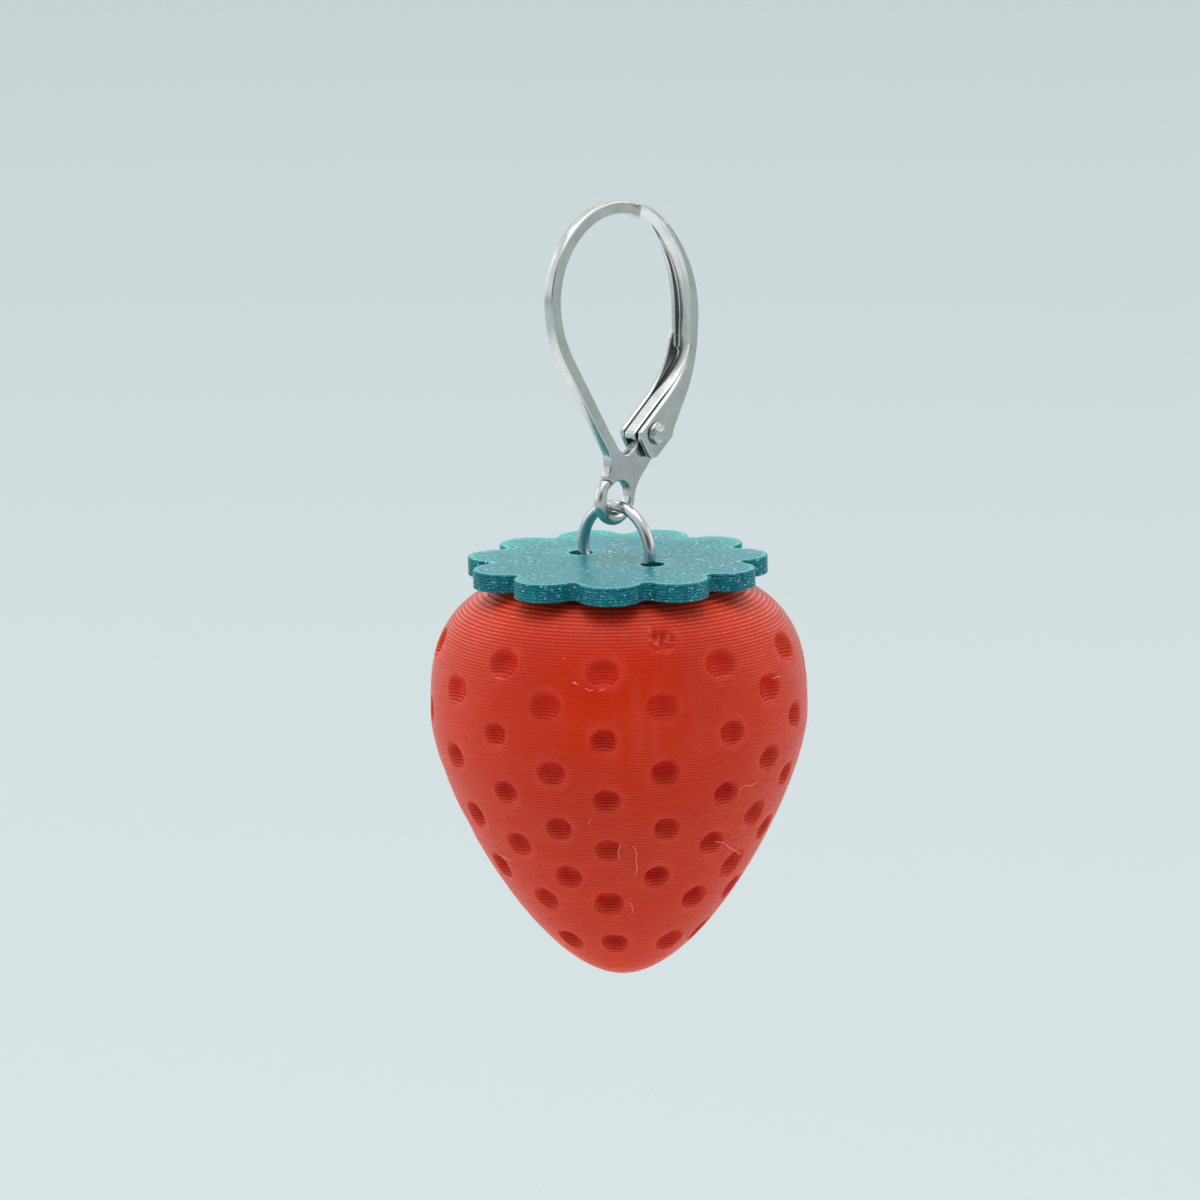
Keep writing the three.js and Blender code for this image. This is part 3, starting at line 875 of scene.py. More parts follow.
    # The relief: layer lines, softer where the melt ran hot, raised lips and one rough dimple.
    height = w.times(lines["Height"], w.math("MAXIMUM", w.ramp(hot, 0.0, 1.0, 1.0, 0.5), high))
    height = w.math("ADD", height, w.times(lip, 0.25))
    rough = w.math("SUBTRACT", w.noise(place, 1900.0, 3.0), 0.5)
    height = w.math("ADD", height, w.times(near_to(ROUGH_SPOT, 0.5, 1.3), rough, 1.6))
    bump = w.node("ShaderNodeBump", {"Height": height, "Strength": 1.0, "Distance": LAYER * MM})
    w.fill(shader, {
        "Base Color": colour, "Normal": bump.outputs["Normal"],
        "Roughness": w.ramp(lines["Band"], 0.2, 0.8, 0.24, 0.34), "Specular IOR Level": 0.11,
        "Subsurface Weight": 0.35, "Subsurface Radius": (1.0, 0.2, 0.1), "Subsurface Scale": 0.0004,
    })
    return material


red_print = berry_plastic()
print("red print made")

# %% Finish the teal print
# Linear colours, in the order in which they are laid on.
TEAL = {
    "deep": (0.002, 0.165, 0.195),
    "clear": (0.006, 0.215, 0.24),
    "rim": (0.02, 0.42, 0.38),
    "glow": (0.03, 0.50, 0.42),
    "seam": (0.001, 0.05, 0.07),
    "groove_shade": (0.001, 0.08, 0.11),
    "blotch": (0.0005, 0.11, 0.165),
    "dim flake": (0.10, 0.62, 0.68),
    "bright flake": (0.70, 1.0, 1.0),
}
SEAM_SPACING = 0.45
LIT_SIDE = (-0.68, 0.73, 0.0)


def calyx_plastic():
    material, w, shader = new_finish("Teal glitter print")
    lines = w.node("ShaderNodeGroup", {"Layer height": CALYX_THICKNESS / CALYX_LAYERS * MM},
                   node_tree=LAYER_LINES).outputs
    place = w.node("ShaderNodeTexCoord").outputs["Object"]
    rim = w.node("ShaderNodeAttribute", attribute_name="rim_distance").outputs["Fac"]
    on_top = w.math("GREATER_THAN", rim, 0.02)
    on_side = w.math("SUBTRACT", 1.0, on_top)
    cloud = w.noise(place, 900.0, 3.0)
    blotch = w.noise(place, 2600.0)
    # The strands of the top run round the rims, with a fine seam between neighbours.
    turn = w.math("ABSOLUTE", w.math("SINE", w.times(rim, math.pi / SEAM_SPACING)))
    seam = w.times(w.ramp(turn, 0.1, 0.6, 1.0, 0.0), w.ramp(cloud, 0.4, 0.6, 0.3, 1.0), on_top)
    # Light comes through the thin lobes on one side of the plate.
    glow = w.times(w.ramp(w.vector("DOT_PRODUCT", place, LIT_SIDE), -1.0 * MM, 8.0 * MM, 0.0, 0.55),
                   w.ramp(rim, 0.3, 2.2, 1.0, 0.0), on_top)
    colour = w.coat(w.mix(w.ramp(cloud, 0.35, 0.65), TEAL["deep"], TEAL["clear"]), [
        # painted glow of light through the thin edges, all round the rims of the top
        (w.times(w.ramp(rim, 0.1, 0.6, 0.5, 0.0), on_top), TEAL["rim"]),
        (glow, TEAL["glow"]),
        (w.times(seam, 0.75), TEAL["seam"]),
        # painted shade in the grooves between the strands of the side
        (w.times(lines["Groove"], on_side, 0.25), TEAL["groove_shade"]),
        (w.times(w.ramp(blotch, 0.38, 0.6, 0.05, 0.7), on_side), TEAL["blotch"]),
    ])
    height = w.times(lines["Height"], w.math("SUBTRACT", 1.0, w.times(on_side, 0.6)))
    height = w.math("SUBTRACT", height, w.times(seam, 0.3))
    bump = w.node("ShaderNodeBump", {"Height": height, "Strength": 1.0, "Distance": 0.1 * MM})
    # Flakes of glitter, small ones everywhere and a few large ones, each with its own tilt.
    normal = w.node("ShaderNodeNewGeometry").outputs["Normal"]
    facing, glitter = bump.outputs["Normal"], 0.0
    for scale, least in ((10500.0, 0.6), (4600.0, 0.82)):
        specks = w.node("ShaderNodeTexVoronoi", {"Vector": place, "Scale": scale}).outputs
        chosen = w.node("ShaderNodeSeparateColor", {"Color": specks["Color"]}).outputs
        near = w.math("LESS_THAN", specks["Distance"], w.ramp(chosen["Blue"], 0.0, 1.0, 0.28, 0.42))
        enough = w.math("ADD", w.times(on_side, 0.04), least)
        flake = w.times(near, w.math("GREATER_THAN", chosen["Red"], enough))
        lean = w.vector("SUBTRACT", specks["Color"], (0.5, 0.5, 0.5))
        tilted = w.vector("NORMALIZE", w.vector("MULTIPLY_ADD", lean, (1.3, 1.3, 1.3), normal))
        facing = w.node("ShaderNodeMix", {0: flake, 4: facing, 5: tilted}, data_type="VECTOR").outputs[1]
        glitter = w.math("MAXIMUM", glitter, w.times(flake, w.ramp(chosen["Green"], 0.0, 1.0, 0.3)))
    flakes = w.mix(w.ramp(glitter, 0.3, 1.0), TEAL["dim flake"], TEAL["bright flake"])
    w.fill(shader, {
        "Base Color": w.mix(w.times(glitter, 0.8), colour, flakes), "Normal": facing,
        "Metallic": w.times(glitter, 0.5), "Roughness": w.ramp(glitter, 0.0, 1.0, 0.3, 0.15),
        "Specular IOR Level": 0.15,
    })
    return material


teal_print = calyx_plastic()
print("teal print made")

# %% Finish the strings


def string_plastic():
    """A string is so thin that it looks paler than the body it hangs on."""
    material, w, shader = new_finish("Pale red string")
    w.fill(shader, {"Base Color": (0.86, 0.27, 0.18), "Roughness": 0.3})
    return material


pale_string = string_plastic()
finishes = (satin_steel, folded_steel, bright_wire, peened_steel, red_print, pale_string, teal_print)
print("materials:", sorted(m.name for m in finishes))

# %% [markdown]
# ## The jump ring
#
# A circle of 0.7 mm wire with a hairline cut, turned so that the cut hides inside the berry.

# %% Sweep the jump ring
RING_CENTRE = -20.36
RING_RADIUS = 2.7
WIRE_RADIUS = 0.35
WIRE_SIDES = 28
RING_CUT = 0.7  # half the cut, in degrees


def ring_path(steps=180):
    gap = math.radians(RING_CUT)
    path = []
    for angle in np.linspace(-math.pi / 2 + gap, 1.5 * math.pi - gap, steps):
        path.append((RING_RADIUS * math.cos(angle), 0.0, RING_CENTRE + RING_RADIUS * math.sin(angle)))
    return path


jump_ring = wire("jump_ring_wire", [ring_path()], WIRE_RADIUS, WIRE_SIDES, bright_wire)
tell(jump_ring)

# %% [markdown]
# ## The tunnel
#
# The ring runs through the calyx and round inside the top of the berry in a curved tunnel. The
# tunnel's wall is part of a torus: for each direction round the bore, a point travels from the
# hole on one side to the hole on the other. The same formula gives the holes' rims.

# %% Measure the tunnel
TUNNEL_CENTRE = -20.44
TUNNEL_RADIUS = 2.95
BORE_RADIUS = 0.71
BORE_SIDES = 28


def tunnel_point(bore_angle, dip_angle, side=1):
    reach = TUNNEL_RADIUS + BORE_RADIUS * math.cos(bore_angle)
    return (
        side * reach * math.cos(dip_angle),
        BORE_RADIUS * math.sin(bore_angle),
        TUNNEL_CENTRE - reach * math.sin(dip_angle),
    )


def dip_at(bore_angle, height):
    """How far round the tunnel a line of its wall lies at a height."""
    reach = TUNNEL_RADIUS + BORE_RADIUS * math.cos(bore_angle)
    return math.asin((TUNNEL_CENTRE - height) / reach)


def hole_rim(height, side):
    """The rim of one of the two holes in a level face, anticlockwise from above."""
    rim = [tunnel_point(a, dip_at(a, height), side) for a in full_turn(BORE_SIDES)]
    return np.array(rim if side > 0 else rim[::-1])


def flat_rims(height):
    """Both rims as flat outlines."""
    return [hole_rim(height, side)[:, :2] for side in (1, -1)]


print("hole rim at the calyx's top:", hole_rim(CALYX_TOP, 1)[0].round(2))

# %% [markdown]
# ## A level face with holes
#
# The tops of the calyx and of the berry are level faces with two holes. A constrained Delaunay
# triangulation fills such a face between its outline and the rims, and takes extra points
# inside, so that a value stored at the points can change finely across it.

# %% Fill a level face
TRIANGLE_HEIGHT = 0.866
OUTLINE_GAP, RIM_GAP = 0.45, 0.4  # least gaps beside the edges, as shares of the spacing


def inside(points, outline):
    """Which points lie inside a closed outline, by counting the edges that each ray crosses."""
    x, y = points[:, 0:1], points[:, 1:2]
    x0, y0 = outline[:, 0], outline[:, 1]
    x1, y1 = np.roll(x0, -1), np.roll(y0, -1)
    crosses = (y0 > y) != (y1 > y)
    at = x0 + (y - y0) * (x1 - x0) / np.where(y1 == y0, 1e-9, y1 - y0)
    return np.count_nonzero(crosses & (x < at), axis=1) % 2 == 1


def distance_to(points, outline):
    """The distance from each point to a closed outline."""
    start, end = outline, np.roll(outline, -1, axis=0)
    run = end - start
    best = np.full(len(points), 1e9)
    for a, d in zip(start, run):
        t = np.clip(((points - a) @ d) / max(d @ d, 1e-12), 0, 1)
        best = np.minimum(best, np.linalg.norm(points - (a + t[:, None] * d), axis=1))
    return best


def level_face(outline, rims, height, spacing):
    """Triangles of a level face that looks up. Returns its points and faces."""
    reach = np.abs(outline).max()
    rows = np.arange(-reach, reach, spacing * TRIANGLE_HEIGHT)
    grid = np.array([
        (x + (spacing / 2 if k % 2 else 0), y)
        for k, y in enumerate(rows)
        for x in np.arange(-reach, reach, spacing)
    ])
    keep = inside(grid, outline) & (distance_to(grid, outline) > spacing * OUTLINE_GAP)
    for rim in rims:
        keep &= ~inside(grid, rim) & (distance_to(grid, rim) > spacing * RIM_GAP)
    loops = [outline] + rims
    flat = np.concatenate(loops + [grid[keep]])
    edges, base = [], 0
    for loop in loops:
        edges += [(base + i, base + (i + 1) % len(loop)) for i in range(len(loop))]
        base += len(loop)
    made, _, faces, *_ = geometry.delaunay_2d_cdt([Vector(p) for p in flat], edges, [], 1, 1e-6)
    made = np.array([tuple(p) for p in made])
    faces = np.array([tuple(f) for f in faces])
    middles = made[faces].mean(axis=1)
    wanted = inside(middles, outline)
    for rim in rims:
        wanted &= ~inside(middles, rim)
    faces = faces[wanted]
    a, b, c = (made[faces[:, i]] for i in range(3))
    turned = (b - a)[:, 0] * (c - a)[:, 1] - (b - a)[:, 1] * (c - a)[:, 0] < 0
    faces[turned] = faces[turned][:, ::-1]
    return at_height(made, height), faces.tolist()


print("level faces ready")

# %% [markdown]
# ## The calyx
#
# The calyx is a flat plate printed in six layers, with eleven round lobes. Small fillets join
# the lobes, and each fillet arc touches the two lobes beside it. Its edge is modelled layer by
# layer, because each layer's strand bulges and catches its own line of light.

# %% Draw the lobed outline
LOBES = 11
LOBE_REACH = 9.1
NOTCH_REACH = 7.62
FILLET = 0.4
LOBE_START = -50.4


def lobed_outline():
    half = math.pi / LOBES
    fillet_reach = NOTCH_REACH + FILLET
    across = fillet_reach * math.cos(half)
    lobe_radius = (LOBE_REACH ** 2 + fillet_reach ** 2 - 2 * LOBE_REACH * across - FILLET ** 2) / (
        2 * (LOBE_REACH - across + FILLET))
    centre_reach = LOBE_REACH - lobe_radius
    turn = math.degrees(math.atan2(fillet_reach * math.sin(half), across - centre_reach))
    pen = Pen()
    for i in range(LOBES):
        middle = LOBE_START + 360 * i / LOBES
        lobe = polar((0, 0), centre_reach, middle)
        fillet = polar((0, 0), fillet_reach, middle + math.degrees(half))
        pen.arc(lobe, lobe_radius, middle - turn, middle + turn, 30)
        pen.arc(fillet, FILLET, middle + turn + 180, middle + math.degrees(2 * half) - turn + 180, 7)
    return pen.closed()


calyx_outline = lobed_outline()
reach = np.linalg.norm(calyx_outline, axis=1).max()
print("outline points:", len(calyx_outline), "reach", reach.round(3))

# %% Build the calyx
GROOVE = 0.045
STRAND_SHARES = (0.0, 0.12, 0.35, 0.65, 0.88)  # how far up its layer each row of the edge lies
TOP_SPACING = 0.24
PLAIN_SPACING = 0.8


def edge_rows():
    """Inset and height of each row of the calyx's edge, from its underside to its top."""
    step = CALYX_THICKNESS / CALYX_LAYERS
    rows = []
    for layer in range(CALYX_LAYERS):
        bottom = CALYX_TOP - CALYX_THICKNESS + layer * step
        for share in STRAND_SHARES:
            bulge = math.sqrt(max(0.0, 1 - (2 * share - 1) ** 2))
            rows.append((GROOVE * (1 - bulge), bottom + share * step))
    rows.append((GROOVE, CALYX_TOP))
    return rows


def build_calyx():
    skin = Skin()
    rows = edge_rows()
    walls = [at_height(inset(calyx_outline, depth), z) for depth, z in rows]
    skin.add(np.concatenate(walls), ring_walls(len(rows), len(calyx_outline)))
    underside = CALYX_TOP - CALYX_THICKNESS
    for height, spacing, flip in ((CALYX_TOP, TOP_SPACING, False), (underside, PLAIN_SPACING, True)):
        points, faces = level_face(inset(calyx_outline, GROOVE), flat_rims(height), height, spacing)
        skin.add(points, faces, flip)
    for side in (1, -1):
        levels = np.linspace(CALYX_TOP, underside, 7)
        wall = [hole_rim(z, side) for z in levels]
        skin.add(np.concatenate(wall), ring_walls(len(levels), BORE_SIDES))
    return skin.sewn("calyx_plate")


def store_rim_distance(made):
    """Stores each point's distance to the nearest rim, so the top's print lines can follow it."""
    flat = np.array([v.co for v in made.data.vertices]) / MM
    near = distance_to(flat[:, :2], calyx_outline)
    for rim in flat_rims(CALYX_TOP):
        near = np.minimum(near, distance_to(flat[:, :2], rim))
    near[flat[:, 2] < CALYX_TOP - 1e-3] = 0.0
    made.data.attributes.new("rim_distance", "FLOAT", "POINT").data.foreach_set("value", near)


calyx_plate = build_calyx()
store_rim_distance(calyx_plate)
tell(calyx_plate)

# %% [markdown]
# ## The berry
#
# The berry's side is a turned curve: a superellipse above its widest height, a long tapering
# curve below it. Seed dimples stand in eighteen columns whose rows alternate. Each dimple is a
# bowl pressed into the surface, so every point near one is moved inwards by the bowl's depth
# there. The points are laid out evenly along the profile, fine enough for crisp dimple rims.

# %% Shape the berry's side
BERRY_TOP = -22.0
BERRY_WIDEST = -30.2
BERRY_TIP = -46.4
BERRY_RADIUS = 11.34
FLAT_RADIUS = 5.6
SHOULDER_POWER = 3
WAIST_PULL = 4.1
TIP_PULL = 5.1
BERRY_COLUMNS = 420
BERRY_ROWS = 200
PLAIN_TOP_SPACING = 0.7


def berry_profile():
    """Closely spaced (radius, height) pairs from the tip to the rim of the flat top."""
    lower = bezier([
        (BERRY_RADIUS, BERRY_WIDEST), (BERRY_RADIUS, BERRY_WIDEST - WAIST_PULL),
        (TIP_PULL, BERRY_TIP), (0, BERRY_TIP),
    ], np.linspace(1, 0, 400))
    flat = (1 - (FLAT_RADIUS / BERRY_RADIUS) ** SHOULDER_POWER) ** (1 / SHOULDER_POWER)
    height = (BERRY_TOP - BERRY_WIDEST) / flat
    z = BERRY_WIDEST + (BERRY_TOP - BERRY_WIDEST) * np.sin(np.linspace(0, math.pi / 2, 200))
    radius = BERRY_RADIUS * (1 - ((z - BERRY_WIDEST) / height) ** SHOULDER_POWER) ** (1 / SHOULDER_POWER)
    return np.concatenate([lower, np.column_stack([radius, z])[1:]])


def even_profile(rows):
    profile = berry_profile()
    run = np.concatenate([[0], np.cumsum(np.linalg.norm(np.diff(profile, axis=0), axis=1))])
    at = np.linspace(0, run[-1], rows + 1)
    return np.column_stack([np.interp(at, run, profile[:, 0]), np.interp(at, run, profile[:, 1])])


BERRY_SIDE = even_profile(BERRY_ROWS)
print("profile run:", np.linalg.norm(np.diff(BERRY_SIDE, axis=0), axis=1).sum().round(2), "mm")

# %% Place the seed dimples
# Degrees round from +X of the columns of dimples.
DIMPLE_TURNS = [-52, -32, -11.5, 5.5, 20.5, 41.5, 62, 83, 104, 125, 145.5, 166.5, 187.5, 208, 229, 252,
                272.5, 290.5]
# Height, size and squatness of the dimples in every second column and in the columns between.
EVEN_ROWS = [(-25.6, 1.05, 1.2), (-29.7, 0.86, 1.1), (-33.45, 0.84, 1.05), (-36.8, 0.86, 0.98),
             (-40.45, 0.88, 0.92), (-43.5, 0.88, 0.85)]
ODD_ROWS = [(-27.6, 1.07, 1.15), (-31.7, 0.93, 1.08), (-35.4, 0.88, 1.0), (-38.7, 0.88, 0.95)]
LONE_TURN, LONE_ROW = -32, (-24.15, 0.95, 1.25)
LONE_DEPTH = 0.3
DIMPLE_WIDTH = 0.98  # half width of a dimple of size 1
DIMPLE_DEPTH = 0.56
RIM_STEEPNESS = 0.8
FLOOR_FLATNESS = 2.6


def side_at(height):
    """Radius of the side at a height."""
    return float(np.interp(height, BERRY_SIDE[:, 1], BERRY_SIDE[:, 0]))


def on_side(turn, height, lift=0.0):
    """A point of the berry's side, from its angle in degrees round from +X and its height."""
    radius = side_at(height)
    slope = (side_at(height + 0.05) - side_at(height - 0.05)) / 0.1
    outward = np.array([1.0, -slope]) / math.hypot(1.0, slope)
    reach = radius + lift * outward[0]
    angle = math.radians(turn)
    return np.array([reach * math.cos(angle), reach * math.sin(angle), height + lift * outward[1]])


def dimple_places():
    """Middle, radius, depth and squatness of each dimple. No two printed dimples are quite alike."""
    random = np.random.default_rng(7)
    rows = [(turn, row, math.inf) for column, turn in enumerate(DIMPLE_TURNS)
            for row in (EVEN_ROWS if column % 2 == 0 else ODD_ROWS)]
    places = []
    for turn, (height, size, squat), deepest in rows + [(LONE_TURN, LONE_ROW, LONE_DEPTH)]:
        radius = DIMPLE_WIDTH * size * random.uniform(0.93, 1.07)
        depth = DIMPLE_DEPTH * random.uniform(0.9, 1.15)
        middle = on_side(turn + random.normal(0, 0.8), height + random.normal(0, 0.06))
        places.append((middle, radius, min(depth, deepest), squat))
    return places


DIMPLES = dimple_places()
print("dimples:", len(DIMPLES))

# %% Build the berry


def dimple_tree():
    """A tree that presses dimples into a skin. Every point of the skin looks up the nearest
    middle and sinks by the depth of that dimple's bowl, and keeps how far out it lies as a
    share of the dimple's radius, so that the finish can follow the bowls."""
    tree, w = new_tree(
        "Press dimples", "GeometryNodeTree",
        [("Skin", "Geometry"), ("Middles", "Object"), ("Rim steepness", "Float"),
         ("Floor flatness", "Float"), ("Finish", "Material")],
        [("Dimpled skin", "Geometry")],
    )
    given = w.node("NodeGroupInput").outputs
    middles = w.node("GeometryNodeObjectInfo", {"Object": given["Middles"]}).outputs["Geometry"]
    nearest = w.node("GeometryNodeSampleNearest", {"Geometry": middles}).outputs["Index"]

    def looked_up(field, kind):
        found = w.node("GeometryNodeSampleIndex", {"Geometry": middles, "Index": nearest}, data_type=kind)
        w.feed(found.inputs["Value"], field)
        return found.outputs["Value"]

    def own(name):
        found = w.node("GeometryNodeInputNamedAttribute", {"Name": name}, data_type="FLOAT")
        return found.outputs["Attribute"]

    place = w.node("GeometryNodeInputPosition").outputs["Position"]
    squat = w.node("ShaderNodeCombineXYZ", {
        "X": 1.0, "Y": 1.0, "Z": looked_up(own("squatness"), "FLOAT")})
    way = w.vector("SUBTRACT", place, looked_up(place, "FLOAT_VECTOR"))
    away = w.vector("LENGTH", w.vector("MULTIPLY", way, squat.outputs["Vector"]))
    share = w.math("MINIMUM", w.math("DIVIDE", away, looked_up(own("radius"), "FLOAT")), 2.0)
    rise = w.math("POWER", w.math("MINIMUM", share, 1.0), given["Floor flatness"])
    bowl = w.math("POWER", w.math("SUBTRACT", 1.0, rise), given["Rim steepness"])
    sunk = w.times(bowl, w.times(looked_up(own("depth"), "FLOAT"), -1.0))
    normal = w.node("GeometryNodeInputNormal").outputs["Normal"]
    shift = w.node("ShaderNodeVectorMath", {0: normal, "Scale": sunk}, operation="SCALE")
    kept = w.node("GeometryNodeStoreNamedAttribute", {"Geometry": given["Skin"], "Name": "dimple_share"},
                  data_type="FLOAT", domain="POINT")
    w.feed(kept.inputs["Value"], share)
    pressed = w.node("GeometryNodeSetPosition", {
        "Geometry": kept.outputs["Geometry"], "Offset": shift.outputs["Vector"]})
    end_tree(w, pressed.outputs["Geometry"], given["Finish"], "Dimpled skin")
    return tree


def press_dimples(skin, finish):
    """Runs the dimple tree over a skin and keeps a plain mesh."""
    middles = new_mesh("dimple_middles", [place[0] * MM for place in DIMPLES])
    for name, index, unit in [("radius", 1, MM), ("depth", 2, MM), ("squatness", 3, 1.0)]:
        values = [place[index] * unit for place in DIMPLES]
        middles.attributes.new(name, "FLOAT", "POINT").data.foreach_set("value", values)
    marks = put("dimple_middles", middles)
    pressed = run_tree(skin, dimple_tree(), {
        "Middles": marks, "Finish": finish,
        "Rim steepness": RIM_STEEPNESS, "Floor flatness": FLOOR_FLATNESS,
    })
    skin.modifiers.clear()
    skin.data = pressed
    bpy.data.objects.remove(marks)


def build_berry():
    turns = full_turn(BERRY_COLUMNS)
    ring = np.column_stack([np.cos(turns), np.sin(turns)])
    rows = BERRY_SIDE[1:]
    points = np.concatenate([at_height(radius * ring, z) for radius, z in rows])
    skin = Skin()
    skin.add(points, ring_walls(len(rows), BERRY_COLUMNS))
    tip = [(0, 0, BERRY_TIP)] + [tuple(p) for p in points[:BERRY_COLUMNS]]
    skin.add(tip, [(0, 1 + (i + 1) % BERRY_COLUMNS, 1 + i) for i in range(BERRY_COLUMNS)])
    top_outline = points[-BERRY_COLUMNS:, :2]
    skin.add(*level_face(top_outline, flat_rims(BERRY_TOP), BERRY_TOP, PLAIN_TOP_SPACING))
    skin.add(*tunnel_wall())
    return skin.sewn("berry_body", 40.0)


def tunnel_wall(steps=30):
    """The wall of the tunnel inside the berry, from the +X hole round to the -X hole."""
    rings = []
    for share in np.linspace(0, 1, steps + 1):
        for bore in full_turn(BORE_SIDES):
            start = dip_at(bore, BERRY_TOP)
            rings.append(tunnel_point(bore, start + share * (math.pi - 2 * start)))
    return rings, ring_walls(steps + 1, BORE_SIDES)


berry_body = build_berry()
press_dimples(berry_body, red_print)
tell(berry_body)

# %% [markdown]
# ## Stray strings
#
# The nozzle leaves a few hair-thin strings behind. Each is a short wire laid just off the side.

# %% Lay the strings
FRONT_TURN = -47.0  # degrees round from +X, from which the strings' turns are measured
STRING_RADIUS = 0.02
STRING_SIDES = 6
# Marks of (turn, height) that each string passes.
STRINGS = [
    [(-0.6, -36.35), (-1.3, -36.8), (-1.0, -37.3)],
    [(3.9, -36.4), (5.6, -36.9), (5.2, -37.5), (6.0, -38.0), (5.0, -38.4)],
    [(3.6, -40.4), (5.0, -40.8), (4.6, -41.2)],
    [(-11.2, -34.9), (-10.2, -34.56)],
    [(36.7, -36.7), (41.0, -36.85), (44.8, -37.3), (55.4, -38.1)],
    [(-58.5, -37.85), (-53.2, -37.93), (-49.1, -38.1)],
    [(54.9, -27.09), (57.0, -27.04), (59.3, -27.1)],
    [(41.1, -33.45), (43.0, -33.2), (46.0, -33.32), (48.9, -33.2)],
    [(-14.2, -26.15), (-12.6, -26.35)],
    [(-10.4, -26.52), (-9.2, -26.64), (-8.0, -26.6)],
    [(-6.3, -26.68), (-4.6, -26.56)],
    [(-14.4, -26.2), (-13.4, -26.28)],
    [(-14.1, -26.27), (-13.5, -26.19)],
    [(-18.2, -24.88), (-17.7, -24.95)],
]


def string_path(marks, steps=10):
    """A rounded path over the side through marks of (turn, height)."""
    marks = np.array(marks)
    at = np.linspace(0, len(marks) - 1, steps)
    path = []
    for t in at:
        turn = FRONT_TURN + np.interp(t, range(len(marks)), marks[:, 0])
        height = np.interp(t, range(len(marks)), marks[:, 1])
        lift = 0.02 + 0.05 * math.sin(math.pi * t / (len(marks) - 1))
        path.append(on_side(turn, height, lift))
    return path


string_paths = [string_path(marks) for marks in STRINGS]
print_strings = wire("print_strings", string_paths, STRING_RADIUS, STRING_SIDES, pale_string)
tell(print_strings)

# %% [markdown]
# ## Dress the pieces and hand them to their bodies

# %% Assign finishes and bodies
for made, finish in [(ear_hook, satin_steel), (closing_lever, folded_steel), (rivet_pin, peened_steel),
                     (calyx_plate, teal_print), (berry_body, red_print)]:
    made.data.materials.clear()
    made.data.materials.append(finish)

for made, body, node, slot in [
    (ear_hook, "hook", "hook", "hook_steel"),
    (rivet_pin, "hook", "rivet", "hook_steel"),
    (closing_lever, "lever", "lever", "hook_steel"),
    (jump_ring, "ring", "jump_ring", "ring_steel"),
    (calyx_plate, "drop", "calyx", "calyx_plastic"),
    (berry_body, "drop", "berry", "berry_plastic"),
    (print_strings, "drop", None, "berry_plastic"),
]:
    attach(made, body)
    if node:
        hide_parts(node)
print("pieces on their bodies")

# %% [markdown]
# ## Backdrop and light
#
# A pale blue-grey floor lies well below the hanging earring, so its shadow falls out of view.
# Under the earring the floor is white, which lights it from below, and a grey card at the side
# gives the flat steel a tone. A broad soft box above and two weaker ones at the sides give the
# even light of a studio tent.

# %% Lay the floor and set the lights
FLOOR_DROP = -0.16
FLOOR_REACH = 6.0
WHITE_REACH, PALE_REACH = 0.2, 0.3
SQUARE = np.array([(-1, -1), (1, -1), (1, 1), (-1, 1)])
CARD_PLACE = (0.30, 0.32, -0.09)
CARD_SIZE = (0.5, 0.2)
EARRING_MIDDLE = (0.0, 0.0, -0.023)
# Each soft box: its name, its place and size in metres, and its power in watts.
SOFT_BOXES = [
    ("Top box", (-0.1, -0.1, 1.3), (1.4, 1.4), 13.2),
    ("Left box", (-0.75, -0.35, 0.2), (0.3, 0.6), 0.65),
    ("Right box", (0.55, 0.65, 0.2), (0.3, 0.6), 0.65),
]
PALE_BLUE = (0.485, 0.535, 0.538)
WHITE = (0.86, 0.86, 0.86)
GREY = (0.55, 0.59, 0.59)


def paper(name):
    material, w, shader = new_finish(name)
    w.fill(shader, {"Roughness": 0.9})
    return material, w, shader


def sheet(name, corners, material):
    mesh = new_mesh(name, corners, [(0, 1, 2, 3)])
    mesh.materials.append(material)
    return put(name, mesh)


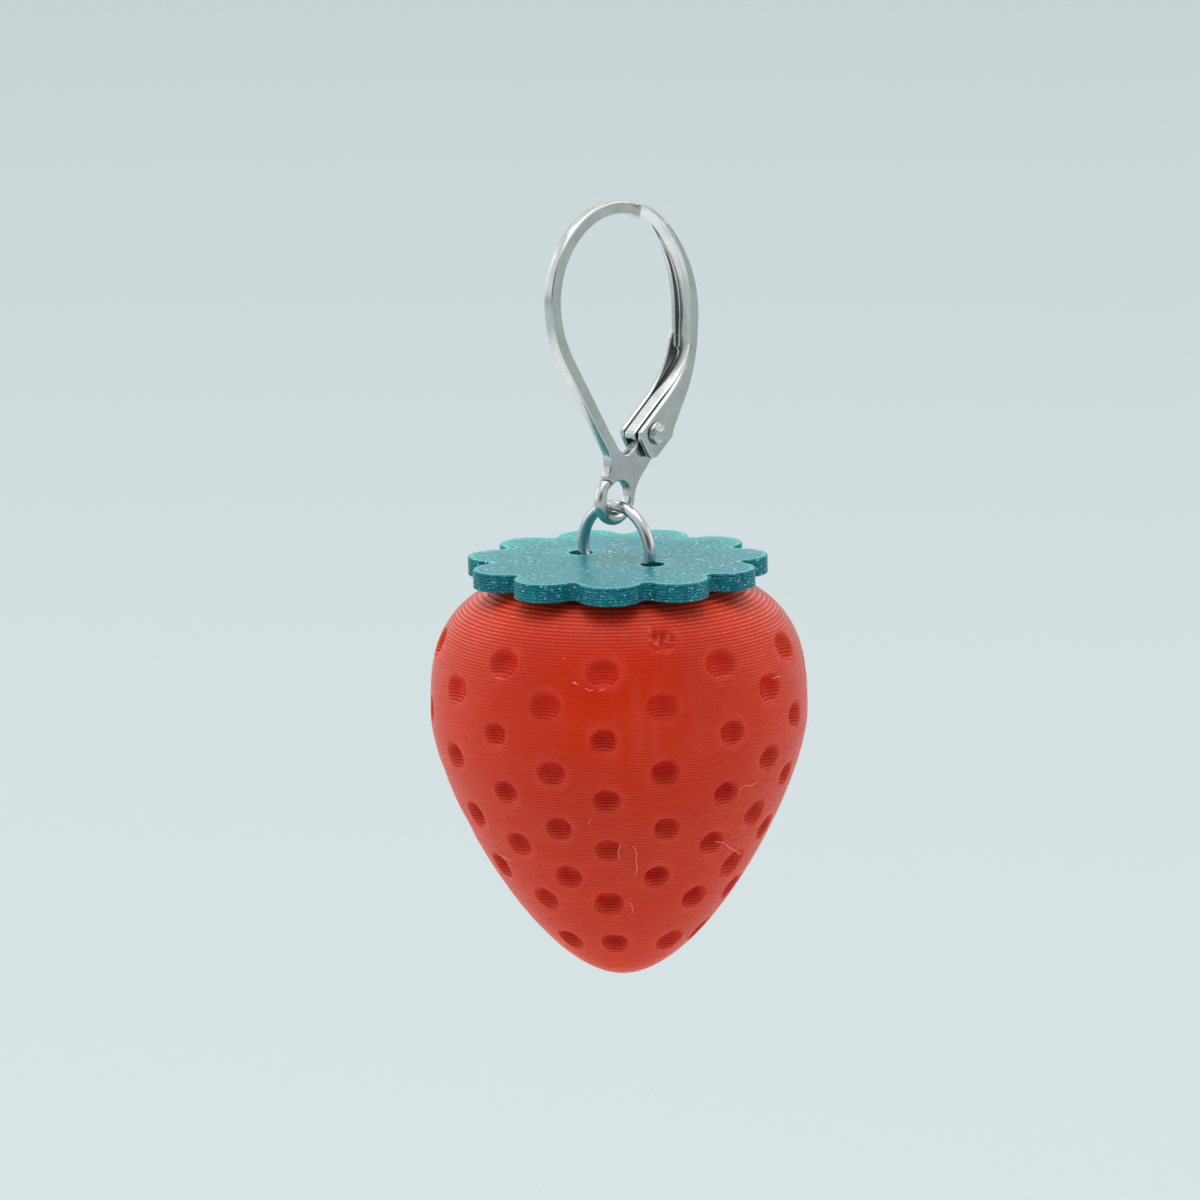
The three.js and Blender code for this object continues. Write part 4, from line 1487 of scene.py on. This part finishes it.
def lay_floor():
    """A wide floor of pale paper, with a white middle that stays out of the picture."""
    material, w, shader = paper("Pale paper")
    place = w.node("ShaderNodeTexCoord").outputs["Object"]
    away = w.vector("DISTANCE", place, (0.0, 0.0, FLOOR_DROP))
    pale = w.ramp(away, WHITE_REACH, PALE_REACH, smooth=True)
    w.fill(shader, {"Base Color": w.mix(pale, WHITE, PALE_BLUE)})
    corners = [(x, y, FLOOR_DROP) for x, y in FLOOR_REACH * SQUARE]
    floor = sheet("floor", corners, material)


def stand_card(place, across, high):
    """A grey card that faces the earring from one side."""
    facing = np.array([-place[0], -place[1], 0.0])
    side = np.array([-facing[1], facing[0], 0.0]) / np.linalg.norm(facing) * across / 2
    rise = np.array([0.0, 0.0, high / 2])
    corners = [np.array(place) + a * side + b * rise for a, b in SQUARE]
    material, w, shader = paper("Grey card")
    w.fill(shader, {"Base Color": GREY})
    card = sheet("grey_card", corners, material)


def soft_box(name, place, size, power):
    data = bpy.data.lights.new(name, "AREA")
    data.shape = "RECTANGLE"
    data.size, data.size_y = size
    data.energy = power
    lamp = put(name, data)
    lamp.location = place
    lamp.rotation_euler = (Vector(EARRING_MIDDLE) - Vector(place)).to_track_quat("-Z", "Y").to_euler()


lay_floor()
stand_card(CARD_PLACE, *CARD_SIZE)
for box in SOFT_BOXES:
    soft_box(*box)
print("soft boxes:", [name for name, *_ in SOFT_BOXES])

# %% Set the room
ROOM_WALLS = (0.94, 0.98, 1.0)
ROOM_DIM_END = (0.13, 0.138, 0.145)
CAMERA_SIDE = (0.682, -0.731, 0.0)


def studio_world():
    """Pale walls all round, apart from the dim end of the room where the camera stands."""
    made = bpy.data.worlds.new("Studio")
    made.use_nodes = True
    w = Wiring(made.node_tree)
    way = w.node("ShaderNodeTexCoord").outputs["Generated"]
    front = w.ramp(w.vector("DOT_PRODUCT", way, CAMERA_SIDE), 0.52, 0.96, smooth=True)
    dim = w.times(front, w.ramp(w.along("Z", way), 0.35, 0.75, 1.0, 0.0, smooth=True))
    background = made.node_tree.nodes["Background"]
    w.fill(background, {"Color": w.mix(dim, ROOM_WALLS, ROOM_DIM_END), "Strength": 1.0})
    bpy.context.scene.world = made


studio_world()
bpy.context.scene.view_settings.view_transform = "Standard"
